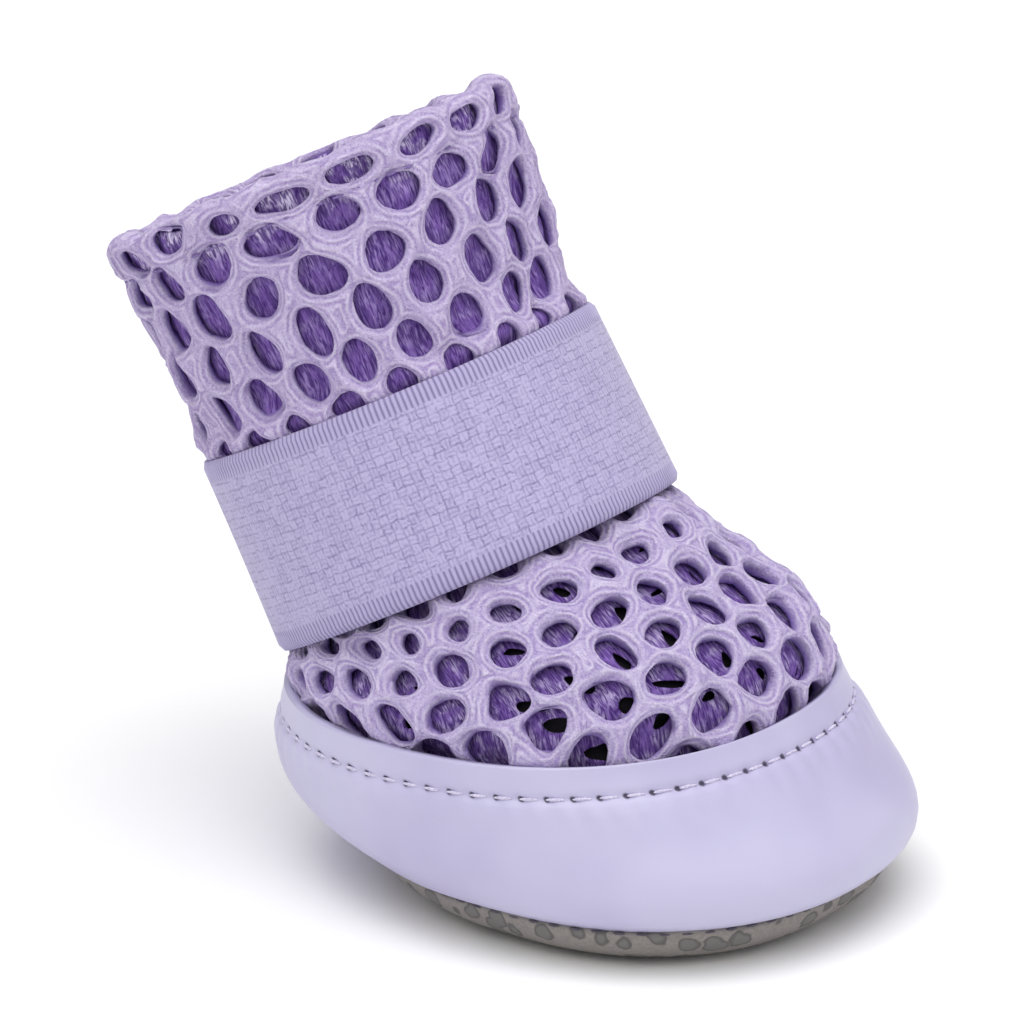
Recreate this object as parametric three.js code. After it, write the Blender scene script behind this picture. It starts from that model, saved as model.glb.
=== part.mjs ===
// Dog boot: a soft sock boot of open mesh, with a coated-cloth rand round the foot,
// a soft dished sole and a hook-and-loop strap round the ankle.
// Millimetres. +X points to the toe, +Y to the boot's left, +Z up.
// The origin is on the sole's flat underside, on the floor, under the middle of the seam.

import * as THREE from "three";

// Driving dimensions of the last
const FOOT_LENGTH = 60;
const BALL_WIDTH = 49.6;
const HEEL_HEIGHT = 19.6;
const INSTEP_HEIGHT = 38.1;
const SECTION_POWER = 2.2;
const TOE_WIDENING = 0.05;

// Walls and clearances
const MESH_WALL = 2;
const HEM_WALL = 3;
const HEM_HEIGHT = 6.5;
const RAND_WALL = 1;
const STRAP_WALL = 1.2;
const CLEARANCE = 0.3;

// Sole and insole
const SEAM_HEIGHT = 4.7;
const SOLE_THICKNESS = 2.3;
const INSOLE_THICKNESS = 1.5;
const INSOLE_EDGE = 0.5;
const SOLE_FORWARD = 1.2;

// Outlines of the sole and insole, as shares of the mesh's outline at the seam
const SOLE_OUTLINE = 1.055;
const SOLE_FLAT = 0.8;
const SOLE_RIM = 0.83;
const SOLE_RECESS = 0.8;
const INSOLE_OUTLINE = 0.78;
const INSOLE_DRAWN_IN = 0.76;

// Strap: where it starts and ends round the shaft, in degrees from the toe to the left
const STRAP_START = 75;
const STRAP_END = 517.5;
const STRAP_STEP_LENGTH = 22.5;

// Fineness of the surfaces
const STATIONS = 48;
const RINGS_PER_SECTION = 3;
const SOLE_EDGE_RINGS = 5;
const SMALL_STEP = 1e-3;
const LEAST_SLOPE = 0.5;

// Sections of the foot from the sole seam to the strap's lower edge. Each is a flat loop.
// back and front are shares of the foot length, heel and instep shares of those heights,
// and width is a share of the ball width.
const FOOT_SECTIONS = [
  { name: "seam", back: -0.4, heel: 0.255, front: 0.4, instep: 0.131, width: 0.911 },
  { name: "ball", back: -0.558, heel: 0.469, front: 0.44, instep: 0.218, width: 1 },
  { name: "rand_middle", back: -0.593, heel: 0.673, front: 0.373, instep: 0.367, width: 0.996 },
  { name: "rand_top", back: -0.575, heel: 0.929, front: 0.292, instep: 0.541, width: 0.972 },
  { name: "vamp_low", back: -0.582, heel: 0.954, front: 0.248, instep: 0.735, width: 0.96 },
  { name: "vamp_high", back: -0.585, heel: 0.977, front: 0.102, instep: 0.887, width: 0.855 },
  { name: "strap_bottom", back: -0.587, heel: 1, front: -0.018, instep: 1, width: 0.774 },
];

// Sections of the shaft above them. rise is the distance up the shaft from the section
// below, lean its angle back from upright, and tilt the loop's angle, front edge up.
const SHAFT_SECTIONS = [
  { name: "strap_top", rise: 20, lean: 30.2, tilt: 27.6, length: 38.6, width: 36 },
  { name: "collar", rise: 24.5, lean: 27, tilt: 28.2, length: 42.8, width: 41 },
];

const RAND_TOP = 3;
const STRAP_BOTTOM = FOOT_SECTIONS.length - 1;
const STRAP_TOP = STRAP_BOTTOM + 1;
const COLLAR = STRAP_BOTTOM + 2;

// Photo colours
const COLOURS = {
  mesh: 0xc6b8e2,
  rand: 0xc5bfe3,
  strap: 0xb9aedc,
  sole: 0xa9a5a0,
  insole: 0x2c2733,
};

// A foot section's loop as its back point, front point and half width.
function footLoop(section) {
  return {
    back: new THREE.Vector3(section.back * FOOT_LENGTH, 0, section.heel * HEEL_HEIGHT),
    front: new THREE.Vector3(section.front * FOOT_LENGTH, 0, section.instep * INSTEP_HEIGHT),
    half: (section.width * BALL_WIDTH) / 2,
  };
}

// A shaft section's loop, standing on the centre of the loop below it.
function shaftLoop(section, below) {
  const lean = THREE.MathUtils.degToRad(section.lean);
  const tilt = THREE.MathUtils.degToRad(section.tilt);
  const centre = below.back.clone().add(below.front).multiplyScalar(0.5);
  centre.x -= section.rise * Math.sin(lean);
  centre.z += section.rise * Math.cos(lean);
  const reach = new THREE.Vector3(Math.cos(tilt), 0, Math.sin(tilt));
  reach.multiplyScalar(section.length / 2);
  return {
    back: centre.clone().sub(reach),
    front: centre.clone().add(reach),
    half: section.width / 2,
  };
}

// All loops of the last, from the sole seam to the collar.
function lastLoops() {
  const loops = FOOT_SECTIONS.map(footLoop);
  for (const section of SHAFT_SECTIONS) {
    loops.push(shaftLoop(section, loops[loops.length - 1]));
  }
  return loops;
}

const LOOPS = lastLoops();
const FOOT_LOOPS = LOOPS.slice(0, STRAP_BOTTOM + 1);
const HEEL_LINE = new THREE.CatmullRomCurve3(FOOT_LOOPS.map((l) => l.back), false, "catmullrom");
const TOE_LINE = new THREE.CatmullRomCurve3(FOOT_LOOPS.map((l) => l.front), false, "catmullrom");
const WIDTH_LINE = new THREE.CatmullRomCurve3(
  FOOT_LOOPS.map((l) => new THREE.Vector3(l.half, 0, 0)),
  false,
  "catmullrom",
);

// The last's loop at a level: whole levels are the sections, and the foot is smooth
// between them. The strap and the shaft are straight between theirs.
function loopAt(level) {
  if (level <= STRAP_BOTTOM) {
    const share = level / STRAP_BOTTOM;
    return {
      back: HEEL_LINE.getPoint(share),
      front: TOE_LINE.getPoint(share),
      half: WIDTH_LINE.getPoint(share).x,
    };
  }
  const index = Math.min(Math.floor(level), COLLAR - 1);
  const [low, high] = [LOOPS[index], LOOPS[index + 1]];
  const share = level - index;
  return {
    back: low.back.clone().lerp(high.back, share),
    front: low.front.clone().lerp(high.front, share),
    half: THREE.MathUtils.lerp(low.half, high.half, share),
  };
}

// A point on the mesh's outer surface. The angle runs from the toe to the left side.
function surfacePoint(level, angle) {
  const loop = loopAt(level);
  const roundness = Math.pow(
    Math.pow(Math.abs(Math.cos(angle)), SECTION_POWER) +
      Math.pow(Math.abs(Math.sin(angle)), SECTION_POWER),
    -1 / SECTION_POWER,
  );
  const along = Math.cos(angle) * roundness;
  const across = Math.sin(angle) * roundness;
  const point = loop.back.clone().lerp(loop.front, (1 + along) / 2);
  point.y = loop.half * across * (1 + TOE_WIDENING * along);
  return point;
}

// Direction along the surface at a point, by a small difference.
function surfaceTangent(level, angle, levelStep, angleStep) {
  const low = Math.max(level - levelStep, 0);
  const high = Math.min(level + levelStep, COLLAR);
  const from = surfacePoint(low, angle - angleStep);
  const to = surfacePoint(high, angle + angleStep);
  return to.sub(from).normalize();
}

// Outward direction at a point, within its section's plane.
function outwardAt(level, angle) {
  const loop = loopAt(level);
  const across = new THREE.Vector3(0, 1, 0);
  const plane = loop.front.clone().sub(loop.back).cross(across).normalize();
  return surfaceTangent(level, angle, 0, SMALL_STEP).cross(plane);
}

// A point pushed off the mesh's outer surface within its section's plane.
function pushedPoint(level, angle, distance) {
  return surfacePoint(level, angle).addScaledVector(outwardAt(level, angle), distance);
}

// A point on a wall's far face, a distance off the mesh's outer surface. Where the surface
// slopes it is pushed further within the plane, so that the wall keeps its thickness.
function wallPoint(level, angle, distance) {
  const round = surfaceTangent(level, angle, 0, SMALL_STEP);
  const normal = round.cross(surfaceTangent(level, angle, SMALL_STEP, 0)).normalize();
  const slope = Math.max(outwardAt(level, angle).dot(normal), LEAST_SLOPE);
  return pushedPoint(level, angle, distance / slope);
}

// A flat ring of points at a level, made by one of the point functions above.
function ringAt(level, distance, point = wallPoint) {
  const ring = [];
  for (let i = 0; i < STATIONS; i += 1) {
    ring.push(point(level, (2 * Math.PI * i) / STATIONS, distance));
  }
  return ring;
}

// Levels from one section to another, evenly spaced, both ends included.
function levelsBetween(from, to, ringsPerSection) {
  const count = Math.round((to - from) * ringsPerSection);
  return Array.from({ length: count + 1 }, (unused, i) => from + ((to - from) * i) / count);
}

function centreOf(ring) {
  const centre = new THREE.Vector3();
  ring.forEach((point) => centre.add(point));
  return centre.divideScalar(ring.length);
}

// A closed skin through rings of equal count. The rings either join up end to end, as in
// a hollow wall, or are closed with a cap at each end.
function skinOf(rings, joined) {
  const count = rings[0].length;
  const points = rings.flat();
  const faces = [];
  const spans = joined ? rings.length : rings.length - 1;
  for (let row = 0; row < spans; row += 1) {
    const here = row * count;
    const next = ((row + 1) % rings.length) * count;
    for (let i = 0; i < count; i += 1) {
      const j = (i + 1) % count;
      faces.push(here + i, here + j, next + j);
      faces.push(here + i, next + j, next + i);
    }
  }
  if (!joined) {
    const last = (rings.length - 1) * count;
    const foot = points.push(centreOf(rings[0])) - 1;
    const head = points.push(centreOf(rings[rings.length - 1])) - 1;
    for (let i = 0; i < count; i += 1) {
      const j = (i + 1) % count;
      faces.push(foot, j, i);
      faces.push(head, last + i, last + j);
    }
  }
  const geometry = new THREE.BufferGeometry().setFromPoints(points);
  geometry.setIndex(faces);
  geometry.computeVertexNormals();
  return geometry;
}

// The mesh sock: one hollow wall, open at the collar and at the sole seam, with a
// thicker folded hem inside the collar.
function upperGeometry() {
  const hemBottom = COLLAR - HEM_HEIGHT / SHAFT_SECTIONS[1].rise;
  const footLevels = levelsBetween(0, STRAP_BOTTOM, RINGS_PER_SECTION);
  const outside = [...footLevels, STRAP_TOP, hemBottom, COLLAR].map((level) => ringAt(level, 0));
  const hem = [ringAt(COLLAR, -HEM_WALL), ringAt(hemBottom, -HEM_WALL)];
  const insideLevels = [...footLevels, STRAP_TOP, hemBottom].reverse();
  const inside = insideLevels.map((level) => ringAt(level, -MESH_WALL));
  return skinOf([...outside, ...hem, ...inside], true);
}

// The rand: a band that stands proud of the mesh, cut between two larger forms of the
// same last, from the sole seam to its own top edge.
function randGeometry() {
  const levels = levelsBetween(0, RAND_TOP, RINGS_PER_SECTION);
  const outside = levels.map((level) => ringAt(level, CLEARANCE + RAND_WALL));
  const inside = levels.map((level) => ringAt(level, CLEARANCE));
  return skinOf([...outside, ...inside.reverse()], true);
}

// A level ring of the seam's outline, at a share of its size, a height and a step forward.
function soleRing(share, height, forward = 0) {
  const step = new THREE.Vector3(forward, 0, 0);
  return ringAt(0, 0).map((point) => point.multiplyScalar(share).add(step).setZ(height));
}

// The sole: a soft dish, flat underneath, whose rounded edge rises to the seam, steeper at
// the toe than at the heel. A rim carries the upper and the rand, and a recess holds the
// insole.
function soleGeometry() {
  const rings = [];
  for (let i = 0; i <= SOLE_EDGE_RINGS; i += 1) {
    const turn = (Math.PI / 2) * (i / SOLE_EDGE_RINGS);
    const share = SOLE_FLAT + (SOLE_OUTLINE - SOLE_FLAT) * Math.sin(turn);
    const forward = SOLE_FORWARD * (1 - Math.sin(turn));
    rings.push(soleRing(share, SEAM_HEIGHT * (1 - Math.cos(turn)), forward));
  }
  rings.push(soleRing(SOLE_RIM, SEAM_HEIGHT));
  rings.push(soleRing(SOLE_RECESS, SOLE_THICKNESS));
  return skinOf(rings, false);
}

// The insole: a thin pad with a softened edge, lying in the sole's recess.
function insoleGeometry() {
  const floor = SOLE_THICKNESS + CLEARANCE;
  const top = floor + INSOLE_THICKNESS;
  const rings = [
    soleRing(INSOLE_DRAWN_IN, floor),
    soleRing(INSOLE_OUTLINE, floor + INSOLE_EDGE),
    soleRing(INSOLE_OUTLINE, top - INSOLE_EDGE),
    soleRing(INSOLE_DRAWN_IN, top),
  ];
  return skinOf(rings, false);
}

// How far the strap's inner face stands off the mesh at an angle: it steps over its own
// sewn start and lies on it up to the free end.
function strapLift(degrees) {
  const lapped = 2 * CLEARANCE + STRAP_WALL;
  const stepEnd = STRAP_START + 360 - 360 / STATIONS;
  const rise = THREE.MathUtils.smoothstep(degrees, stepEnd - STRAP_STEP_LENGTH, stepEnd);
  return THREE.MathUtils.lerp(CLEARANCE, lapped, rise);
}

// The strap: a flat tape wound once round the shaft, with its free end lapped over its
// start on the boot's left side.
function strapGeometry() {
  const stations = [];
  for (let degrees = STRAP_START; degrees <= STRAP_END; degrees += 360 / STATIONS) {
    const angle = THREE.MathUtils.degToRad(degrees);
    const inner = strapLift(degrees);
    const outer = inner + STRAP_WALL;
    stations.push([
      pushedPoint(STRAP_TOP, angle, outer),
      pushedPoint(STRAP_BOTTOM, angle, outer),
      pushedPoint(STRAP_BOTTOM, angle, inner),
      pushedPoint(STRAP_TOP, angle, inner),
    ]);
  }
  return skinOf(stations, false);
}

function meshOf(name, geometry, colour, roughness) {
  const material = new THREE.MeshStandardMaterial({ color: colour, roughness, metalness: 0 });
  const mesh = new THREE.Mesh(geometry, material);
  mesh.name = name;
  return mesh;
}

function dogBoot() {
  const boot = new THREE.Group();
  boot.name = "dog_boot";
  boot.add(meshOf("sole", soleGeometry(), COLOURS.sole, 0.95));
  boot.add(meshOf("insole", insoleGeometry(), COLOURS.insole, 0.95));
  boot.add(meshOf("upper", upperGeometry(), COLOURS.mesh, 0.85));
  boot.add(meshOf("rand", randGeometry(), COLOURS.rand, 0.45));
  boot.add(meshOf("strap", strapGeometry(), COLOURS.strap, 0.9));
  return boot;
}

export default dogBoot();
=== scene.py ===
"""Looks of a soft dog boot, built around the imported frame.

The boot is a sock of large-hole mesh with a folded hem, a coated-cloth rand round the
foot, a soft dished sole and a hook-and-loop strap round the ankle.

Sizes are in millimetres on the last and become metres when a piece is placed. +X points
to the toe, +Y to the boot's left and +Z up. Angles run from the toe to the boot's left.
"""

import logging
import math
import random
from collections.abc import Callable, Sequence
from dataclasses import dataclass, field
from enum import Enum

import bmesh
import bpy
import numpy as np
from mathutils import Matrix, Vector, noise


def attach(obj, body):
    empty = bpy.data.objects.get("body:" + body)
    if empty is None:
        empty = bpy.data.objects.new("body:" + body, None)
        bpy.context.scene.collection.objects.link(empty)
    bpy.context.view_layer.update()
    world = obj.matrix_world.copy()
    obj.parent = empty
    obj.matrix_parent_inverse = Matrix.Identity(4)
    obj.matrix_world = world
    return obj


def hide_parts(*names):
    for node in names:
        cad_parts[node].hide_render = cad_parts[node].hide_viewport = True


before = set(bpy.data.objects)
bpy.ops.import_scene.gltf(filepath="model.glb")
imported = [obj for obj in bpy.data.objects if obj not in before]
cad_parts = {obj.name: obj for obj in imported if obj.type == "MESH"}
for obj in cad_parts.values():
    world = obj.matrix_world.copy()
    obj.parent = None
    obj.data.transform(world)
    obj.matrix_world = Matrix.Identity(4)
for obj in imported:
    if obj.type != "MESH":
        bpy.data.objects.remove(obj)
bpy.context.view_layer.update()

LOG = logging.getLogger("dog_boot")

MM = 0.001
FULL_TURN = 2 * math.pi

# Vertices closer than this many millimetres become one
TOUCHING = 0.01
# A hexagon's half width, for a half height of 1
HEXAGON_WIDTH = 0.866


class Slot(Enum):
    """Material slots of the part's record."""

    SOLE = "sole_cloth"
    INSOLE = "insole_cloth"
    MESH = "spacer_mesh"
    RAND = "coated_cloth"
    STRAP = "hook_and_loop_tape"


class Layer(int, Enum):
    """Layers of the coated cloth, in the order of the rand's materials."""

    FACE = 0
    BACKING = 1
    CUT_EDGE = 2


class Level(float, Enum):
    """Named levels of the last, from the sole seam up to the collar."""

    SEAM = 0.0
    RAND_TOP = 3.0
    STRAP_BOTTOM = 6.0
    STRAP_TOP = 7.0
    COLLAR = 8.0


# Small helpers


def to_linear(hex_colour: str) -> tuple[float, float, float, float]:
    """Turns an sRGB hex colour into Blender's linear colour.

    Args:
        hex_colour: Six hex digits.

    Returns:
        Linear red, green and blue, and an alpha of 1.
    """
    shares = [int(hex_colour[i : i + 2], 16) / 255 for i in (0, 2, 4)]
    linear = [s / 12.92 if s <= 0.04045 else ((s + 0.055) / 1.055) ** 2.4 for s in shares]
    return (*linear, 1.0)


def smooth_step(value: np.ndarray, start: float, end: float) -> np.ndarray:
    """Rises smoothly from 0 at start to 1 at end.

    Args:
        value: Where it is read.
        start: Where the rise starts.
        end: Where the rise ends.

    Returns:
        Shares from 0 to 1.
    """
    share = np.clip((value - start) / (end - start), 0, 1)
    return share * share * (3 - 2 * share)


def hump(value: np.ndarray, middle: float, width: float) -> np.ndarray:
    """A soft hump of height 1 round a middle value; width is where it has dropped to 0.37."""
    return np.exp(-(((value - middle) / width) ** 2))


def turn_between(angle: np.ndarray, middle: float) -> np.ndarray:
    """Degrees from a middle angle to an angle in radians, from -180 to 180."""
    return (np.degrees(angle) - middle + 180) % 360 - 180


def lengths_along(path: np.ndarray) -> np.ndarray:
    """Measures a path.

    Args:
        path: Points in millimetres, one row each.

    Returns:
        How far along the path each point lies, in millimetres.
    """
    steps = np.linalg.norm(np.diff(path, axis=0), axis=1)
    return np.concatenate([[0], np.cumsum(steps)])


def add_node(
    tree: bpy.types.NodeTree, kind: str, inputs: dict | None = None, **settings: object
) -> bpy.types.Node:
    """Adds a node with its settings and links.

    Args:
        tree: The material's node tree.
        kind: The shader node's type name, without its prefix.
        inputs: For each input's name or number, a value, or the socket that feeds it, or a
            node whose first socket in use feeds it.
        settings: The node's own settings.

    Returns:
        The new node.
    """
    node = tree.nodes.new("ShaderNode" + kind)
    for name, value in settings.items():
        setattr(node, name, value)
    for key, value in (inputs or {}).items():
        if isinstance(value, bpy.types.Node):
            value = next(socket for socket in value.outputs if socket.enabled)
        if isinstance(value, bpy.types.NodeSocket):
            tree.links.new(value, node.inputs[key])
        else:
            node.inputs[key].default_value = value
    return node


# The last


@dataclass(frozen=True)
class FootSection:
    """A loop of the foot, in shares of the last's own sizes.

    back and front are shares of the foot's length, heel and instep of the heel's and the
    instep's height, and width of the ball's width.
    """

    back: float
    heel: float
    front: float
    instep: float
    width: float


@dataclass(frozen=True)
class ShaftSection:
    """A loop of the shaft, standing on the loop below it.

    rise, length and width are in millimetres. lean is how far its middle leans back, and
    tilt how far the loop itself is tilted, in degrees.
    """

    rise: float
    lean: float
    tilt: float
    length: float
    width: float


@dataclass
class Last:
    """The form that the boot is drawn over, as flat loops from the sole seam to the collar.

    Sizes are in millimetres. section_power squares the loops off, toe_widening is the
    share by which they widen towards the toe, and step is the small step in level and
    angle from which directions are worked out.
    """

    foot_length: float = 60.0
    ball_width: float = 49.6
    heel_height: float = 19.6
    instep_height: float = 38.1
    section_power: float = 2.2
    toe_widening: float = 0.05
    step: float = 0.01
    foot: tuple[FootSection, ...] = (
        FootSection(-0.4, 0.255, 0.4, 0.131, 0.911),
        FootSection(-0.558, 0.469, 0.44, 0.218, 1.0),
        FootSection(-0.593, 0.673, 0.373, 0.367, 0.996),
        FootSection(-0.575, 0.929, 0.292, 0.541, 0.972),
        FootSection(-0.582, 0.954, 0.248, 0.735, 0.96),
        FootSection(-0.585, 0.977, 0.102, 0.887, 0.855),
        FootSection(-0.587, 1.0, -0.018, 1.0, 0.774),
    )
    shaft: tuple[ShaftSection, ...] = (
        ShaftSection(20.0, 30.2, 27.6, 38.6, 36.0),
        ShaftSection(24.5, 27.0, 28.2, 42.8, 41.0),
    )
    rows: np.ndarray = field(init=False)

    def __post_init__(self) -> None:
        """Works out the back point, front point and half width of each loop."""
        rows = [
            [
                s.back * self.foot_length,
                s.heel * self.heel_height,
                s.front * self.foot_length,
                s.instep * self.instep_height,
                s.width * self.ball_width / 2,
            ]
            for s in self.foot
        ]
        for s in self.shaft:
            below = rows[-1]
            lean, tilt = math.radians(s.lean), math.radians(s.tilt)
            x = (below[0] + below[2]) / 2 - s.rise * math.sin(lean)
            z = (below[1] + below[3]) / 2 + s.rise * math.cos(lean)
            along, up = s.length / 2 * math.cos(tilt), s.length / 2 * math.sin(tilt)
            rows.append([x - along, z - up, x + along, z + up, s.width / 2])
        self.rows = np.array(rows)

    def loops(self, level: np.ndarray) -> np.ndarray:
        """The loops at levels, smooth over the foot and straight over the strap and shaft.

        Args:
            level: Levels; past the collar the shaft goes on straight.

        Returns:
            A row of back x, back z, front x, front z and half width for each level.
        """
        last_foot = len(self.foot) - 1
        index = np.clip(np.floor(level).astype(int), 0, len(self.rows) - 2)
        share = (level - index)[:, None]
        ends = [2 * self.rows[0] - self.rows[1], 2 * self.rows[last_foot] - self.rows[last_foot - 1]]
        knots = np.vstack([ends[0], self.rows[: last_foot + 1], ends[1]])
        near = np.minimum(index, last_foot - 1)
        before, start, end, after = (knots[near + k] for k in range(4))
        leave, arrive = (end - before) / 2, (after - start) / 2
        curved = (
            start
            + leave * share
            + (3 * end - 3 * start - 2 * leave - arrive) * share**2
            + (2 * start - 2 * end + leave + arrive) * share**3
        )
        straight = self.rows[index] * (1 - share) + self.rows[index + 1] * share
        return np.where((index < last_foot)[:, None], curved, straight)

    def surface(self, level: np.ndarray, angle: np.ndarray) -> np.ndarray:
        """Points on the mesh's outer surface.

        Args:
            level: Levels.
            angle: Angles in radians.

        Returns:
            Points in millimetres, one row each.
        """
        level, angle = np.broadcast_arrays(np.asarray(level, float), np.asarray(angle, float))
        loop = self.loops(level.ravel())
        along, across = np.cos(angle.ravel()), np.sin(angle.ravel())
        power = self.section_power
        reach = (np.abs(along) ** power + np.abs(across) ** power) ** (-1 / power)
        along, across = along * reach, across * reach
        back, front = loop[:, 0:2], loop[:, 2:4]
        side = back + (front - back) * ((1 + along) / 2)[:, None]
        width = loop[:, 4] * across * (1 + self.toe_widening * along)
        return np.stack([side[:, 0], width, side[:, 1]], -1)

    def outward(self, level: np.ndarray, angle: np.ndarray) -> np.ndarray:
        """Outward directions of the mesh's outer surface.

        Args:
            level: Levels.
            angle: Angles in radians.

        Returns:
            Unit normals, one row each.
        """
        round_it = self.surface(level, angle + self.step) - self.surface(level, angle - self.step)
        up = self.surface(level + 2 * self.step, angle) - self.surface(level - 2 * self.step, angle)
        normal = np.cross(round_it, up)
        return normal / np.linalg.norm(normal, axis=1, keepdims=True)

    def place(self, level: np.ndarray, angle: np.ndarray, offset: np.ndarray) -> np.ndarray:
        """Points at distances off the mesh's outer surface.

        Args:
            level: Levels.
            angle: Angles in radians.
            offset: Distances outwards, in millimetres.

        Returns:
            Points in millimetres, one row each.
        """
        level, angle, offset = (
            a.ravel() for a in np.broadcast_arrays(level * 1.0, angle * 1.0, offset * 1.0)
        )
        return self.surface(level, angle) + self.outward(level, angle) * offset[:, None]


class Meridians:
    """Distances down the last's surface, measured from one of its levels."""

    def __init__(self, last: Last, start: float) -> None:
        """Measures the last along its meridians.

        Args:
            last: The last.
            start: The level where distances are 0; they grow downwards.
        """
        self.turns = np.radians(np.arange(0, 361, 3))
        self.levels = np.linspace(Level.COLLAR + 0.4, 0, 421)
        self.pitch = 0.25
        self.places = np.arange(-30, 60.1, self.pitch)
        shape = (len(self.turns), len(self.levels))
        grid = last.surface(self.levels[None, :], self.turns[:, None]).reshape(*shape, 3)
        steps = np.linalg.norm(np.diff(grid, axis=1), axis=2)
        lengths = np.concatenate([np.zeros((shape[0], 1)), np.cumsum(steps, 1)], 1)
        lengths -= np.array([np.interp(-start, -self.levels, row) for row in lengths])[:, None]
        self.lengths = lengths
        self.level_table = np.array([np.interp(self.places, row, self.levels) for row in lengths])

    def level(self, angle: np.ndarray, distance: np.ndarray) -> np.ndarray:
        """Levels at distances down the meridians.

        Args:
            angle: Angles in radians.
            distance: Distances from the start, in millimetres.

        Returns:
            A level for each point.
        """
        spot = (angle % FULL_TURN) / self.turns[1]
        i = np.minimum(spot.astype(int), len(self.turns) - 2)
        first, last = self.places[0], self.places[-1] - self.pitch * 1.04
        reach = (np.clip(distance, first, last) - first) / self.pitch
        j = reach.astype(int)
        u, v = spot - i, reach - j
        table = self.level_table
        near = table[i, j] * (1 - v) + table[i, j + 1] * v
        far = table[i + 1, j] * (1 - v) + table[i + 1, j + 1] * v
        return near * (1 - u) + far * u

    def distance(self, angle: np.ndarray, level: float) -> np.ndarray:
        """How far down a level lies at each angle, in millimetres."""
        column = np.array([np.interp(-level, -self.levels, row) for row in self.lengths])
        return np.interp(angle % FULL_TURN, self.turns, column)


@dataclass(frozen=True)
class Crease:
    """A soft trough or ridge, placed in the boot's own sizes.

    angle is its middle round the boot in degrees and place its middle down the cloth in
    millimetres; length, width and depth are in millimetres, with a depth below 0 for a
    trough, and turn is in degrees off the meridian.
    """

    angle: float
    place: float
    length: float
    width: float
    depth: float
    turn: float = 0.0


def relief(creases: Sequence[Crease], angle: np.ndarray, place: np.ndarray, girth: float) -> np.ndarray:
    """Adds up creases.

    Args:
        creases: The creases.
        angle: Angles in radians.
        place: Distances down the cloth, in millimetres.
        girth: Millimetres round the boot for one degree.

    Returns:
        How far the cloth moves outwards at each point, in millimetres.
    """
    moved = np.zeros_like(angle)
    for c in creases:
        x, y = turn_between(angle, c.angle) * girth, place - c.place
        cos, sin = math.cos(math.radians(c.turn)), math.sin(math.radians(c.turn))
        across, along = x * cos + y * sin, y * cos - x * sin
        moved += c.depth * hump(across, 0, c.width) * hump(along, 0, c.length / 2)
    return moved


@dataclass(frozen=True)
class Crumple:
    """Slow uneven waves of soft cloth, as a few crossing ripples."""

    height: float = 0.3
    round_it: tuple[int, ...] = (5, 9, 14, 23, 31)
    down_it: tuple[float, ...] = (0.31, -0.42, 0.55, -0.24, 0.7)
    start: tuple[float, ...] = (0.4, 2.1, 4.4, 1.3, 5.2)

    def at(self, angle: np.ndarray, place: np.ndarray) -> np.ndarray:
        """How far the cloth moves outwards.

        Args:
            angle: Angles in radians.
            place: Distances down the cloth, in millimetres.

        Returns:
            Distances in millimetres.
        """
        waves = [
            np.sin(k * angle + m * place + p)
            for k, m, p in zip(self.round_it, self.down_it, self.start, strict=True)
        ]
        return self.height * np.mean(waves, 0) * math.sqrt(len(waves))


# Meshes


def read_points(mesh: bpy.types.Mesh) -> np.ndarray:
    """Reads a mesh's vertices.

    Args:
        mesh: The mesh.

    Returns:
        The places of its vertices, one row each.
    """
    points = np.empty(len(mesh.vertices) * 3)
    mesh.vertices.foreach_get("co", points)
    return points.reshape(-1, 3)


def write_points(mesh: bpy.types.Mesh, points: np.ndarray) -> None:
    """Places a mesh's vertices and shades it smooth.

    Args:
        mesh: The mesh.
        points: The vertices' places in millimetres, one row each.
    """
    mesh.vertices.foreach_set("co", (points * MM).ravel())
    mesh.polygons.foreach_set("use_smooth", np.ones(len(mesh.polygons), bool))
    mesh.update()


def write_attribute(mesh: bpy.types.Mesh, name: str, values: np.ndarray) -> None:
    """Stores a number for each vertex, for the material to read."""
    layer = mesh.attributes.new(name, "FLOAT", "POINT")
    layer.data.foreach_set("value", values.astype(np.float32))


def write_cloth_map(mesh: bpy.types.Mesh, u: np.ndarray, v: np.ndarray, period: float) -> None:
    """Stores the cloth's own map, from values at the vertices.

    Args:
        mesh: The mesh.
        u: Values round or along the cloth.
        v: Values across it.
        period: How far u runs before it starts again, or 0 where it doesn't.
    """
    corners = np.empty(len(mesh.loops), int)
    mesh.loops.foreach_get("vertex_index", corners)
    starts = np.empty(len(mesh.polygons), int)
    mesh.polygons.foreach_get("loop_start", starts)
    around = u[corners]
    if period:
        sizes = np.diff(np.append(starts, len(corners)))
        highest = np.repeat(np.maximum.reduceat(around, starts), sizes)
        around = np.where(highest - around > period / 2, around + period, around)
    layer = mesh.uv_layers.new(name="cloth")
    layer.data.foreach_set("uv", np.stack([around, v[corners]], -1).astype(np.float32).ravel())


def finished(form: bmesh.types.BMesh, name: str, modifiers: Sequence[tuple[str, dict]]) -> bpy.types.Mesh:
    """Turns a form into a mesh, with modifiers worked in.

    Args:
        form: The form, which is freed.
        name: The mesh's name.
        modifiers: Each modifier's type and settings, in order.

    Returns:
        The new mesh.
    """
    draft = bpy.data.meshes.new(name + "_draft")
    form.to_mesh(draft)
    form.free()
    holder = bpy.data.objects.new(name + "_draft", draft)
    bpy.context.scene.collection.objects.link(holder)
    for kind, settings in modifiers:
        modifier = holder.modifiers.new(kind.lower(), kind)
        for key, value in settings.items():
            setattr(modifier, key, value)
    graph = bpy.context.evaluated_depsgraph_get()
    mesh = bpy.data.meshes.new_from_object(holder.evaluated_get(graph))
    mesh.name = name
    bpy.data.objects.remove(holder)
    bpy.data.meshes.remove(draft)
    return mesh


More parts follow.
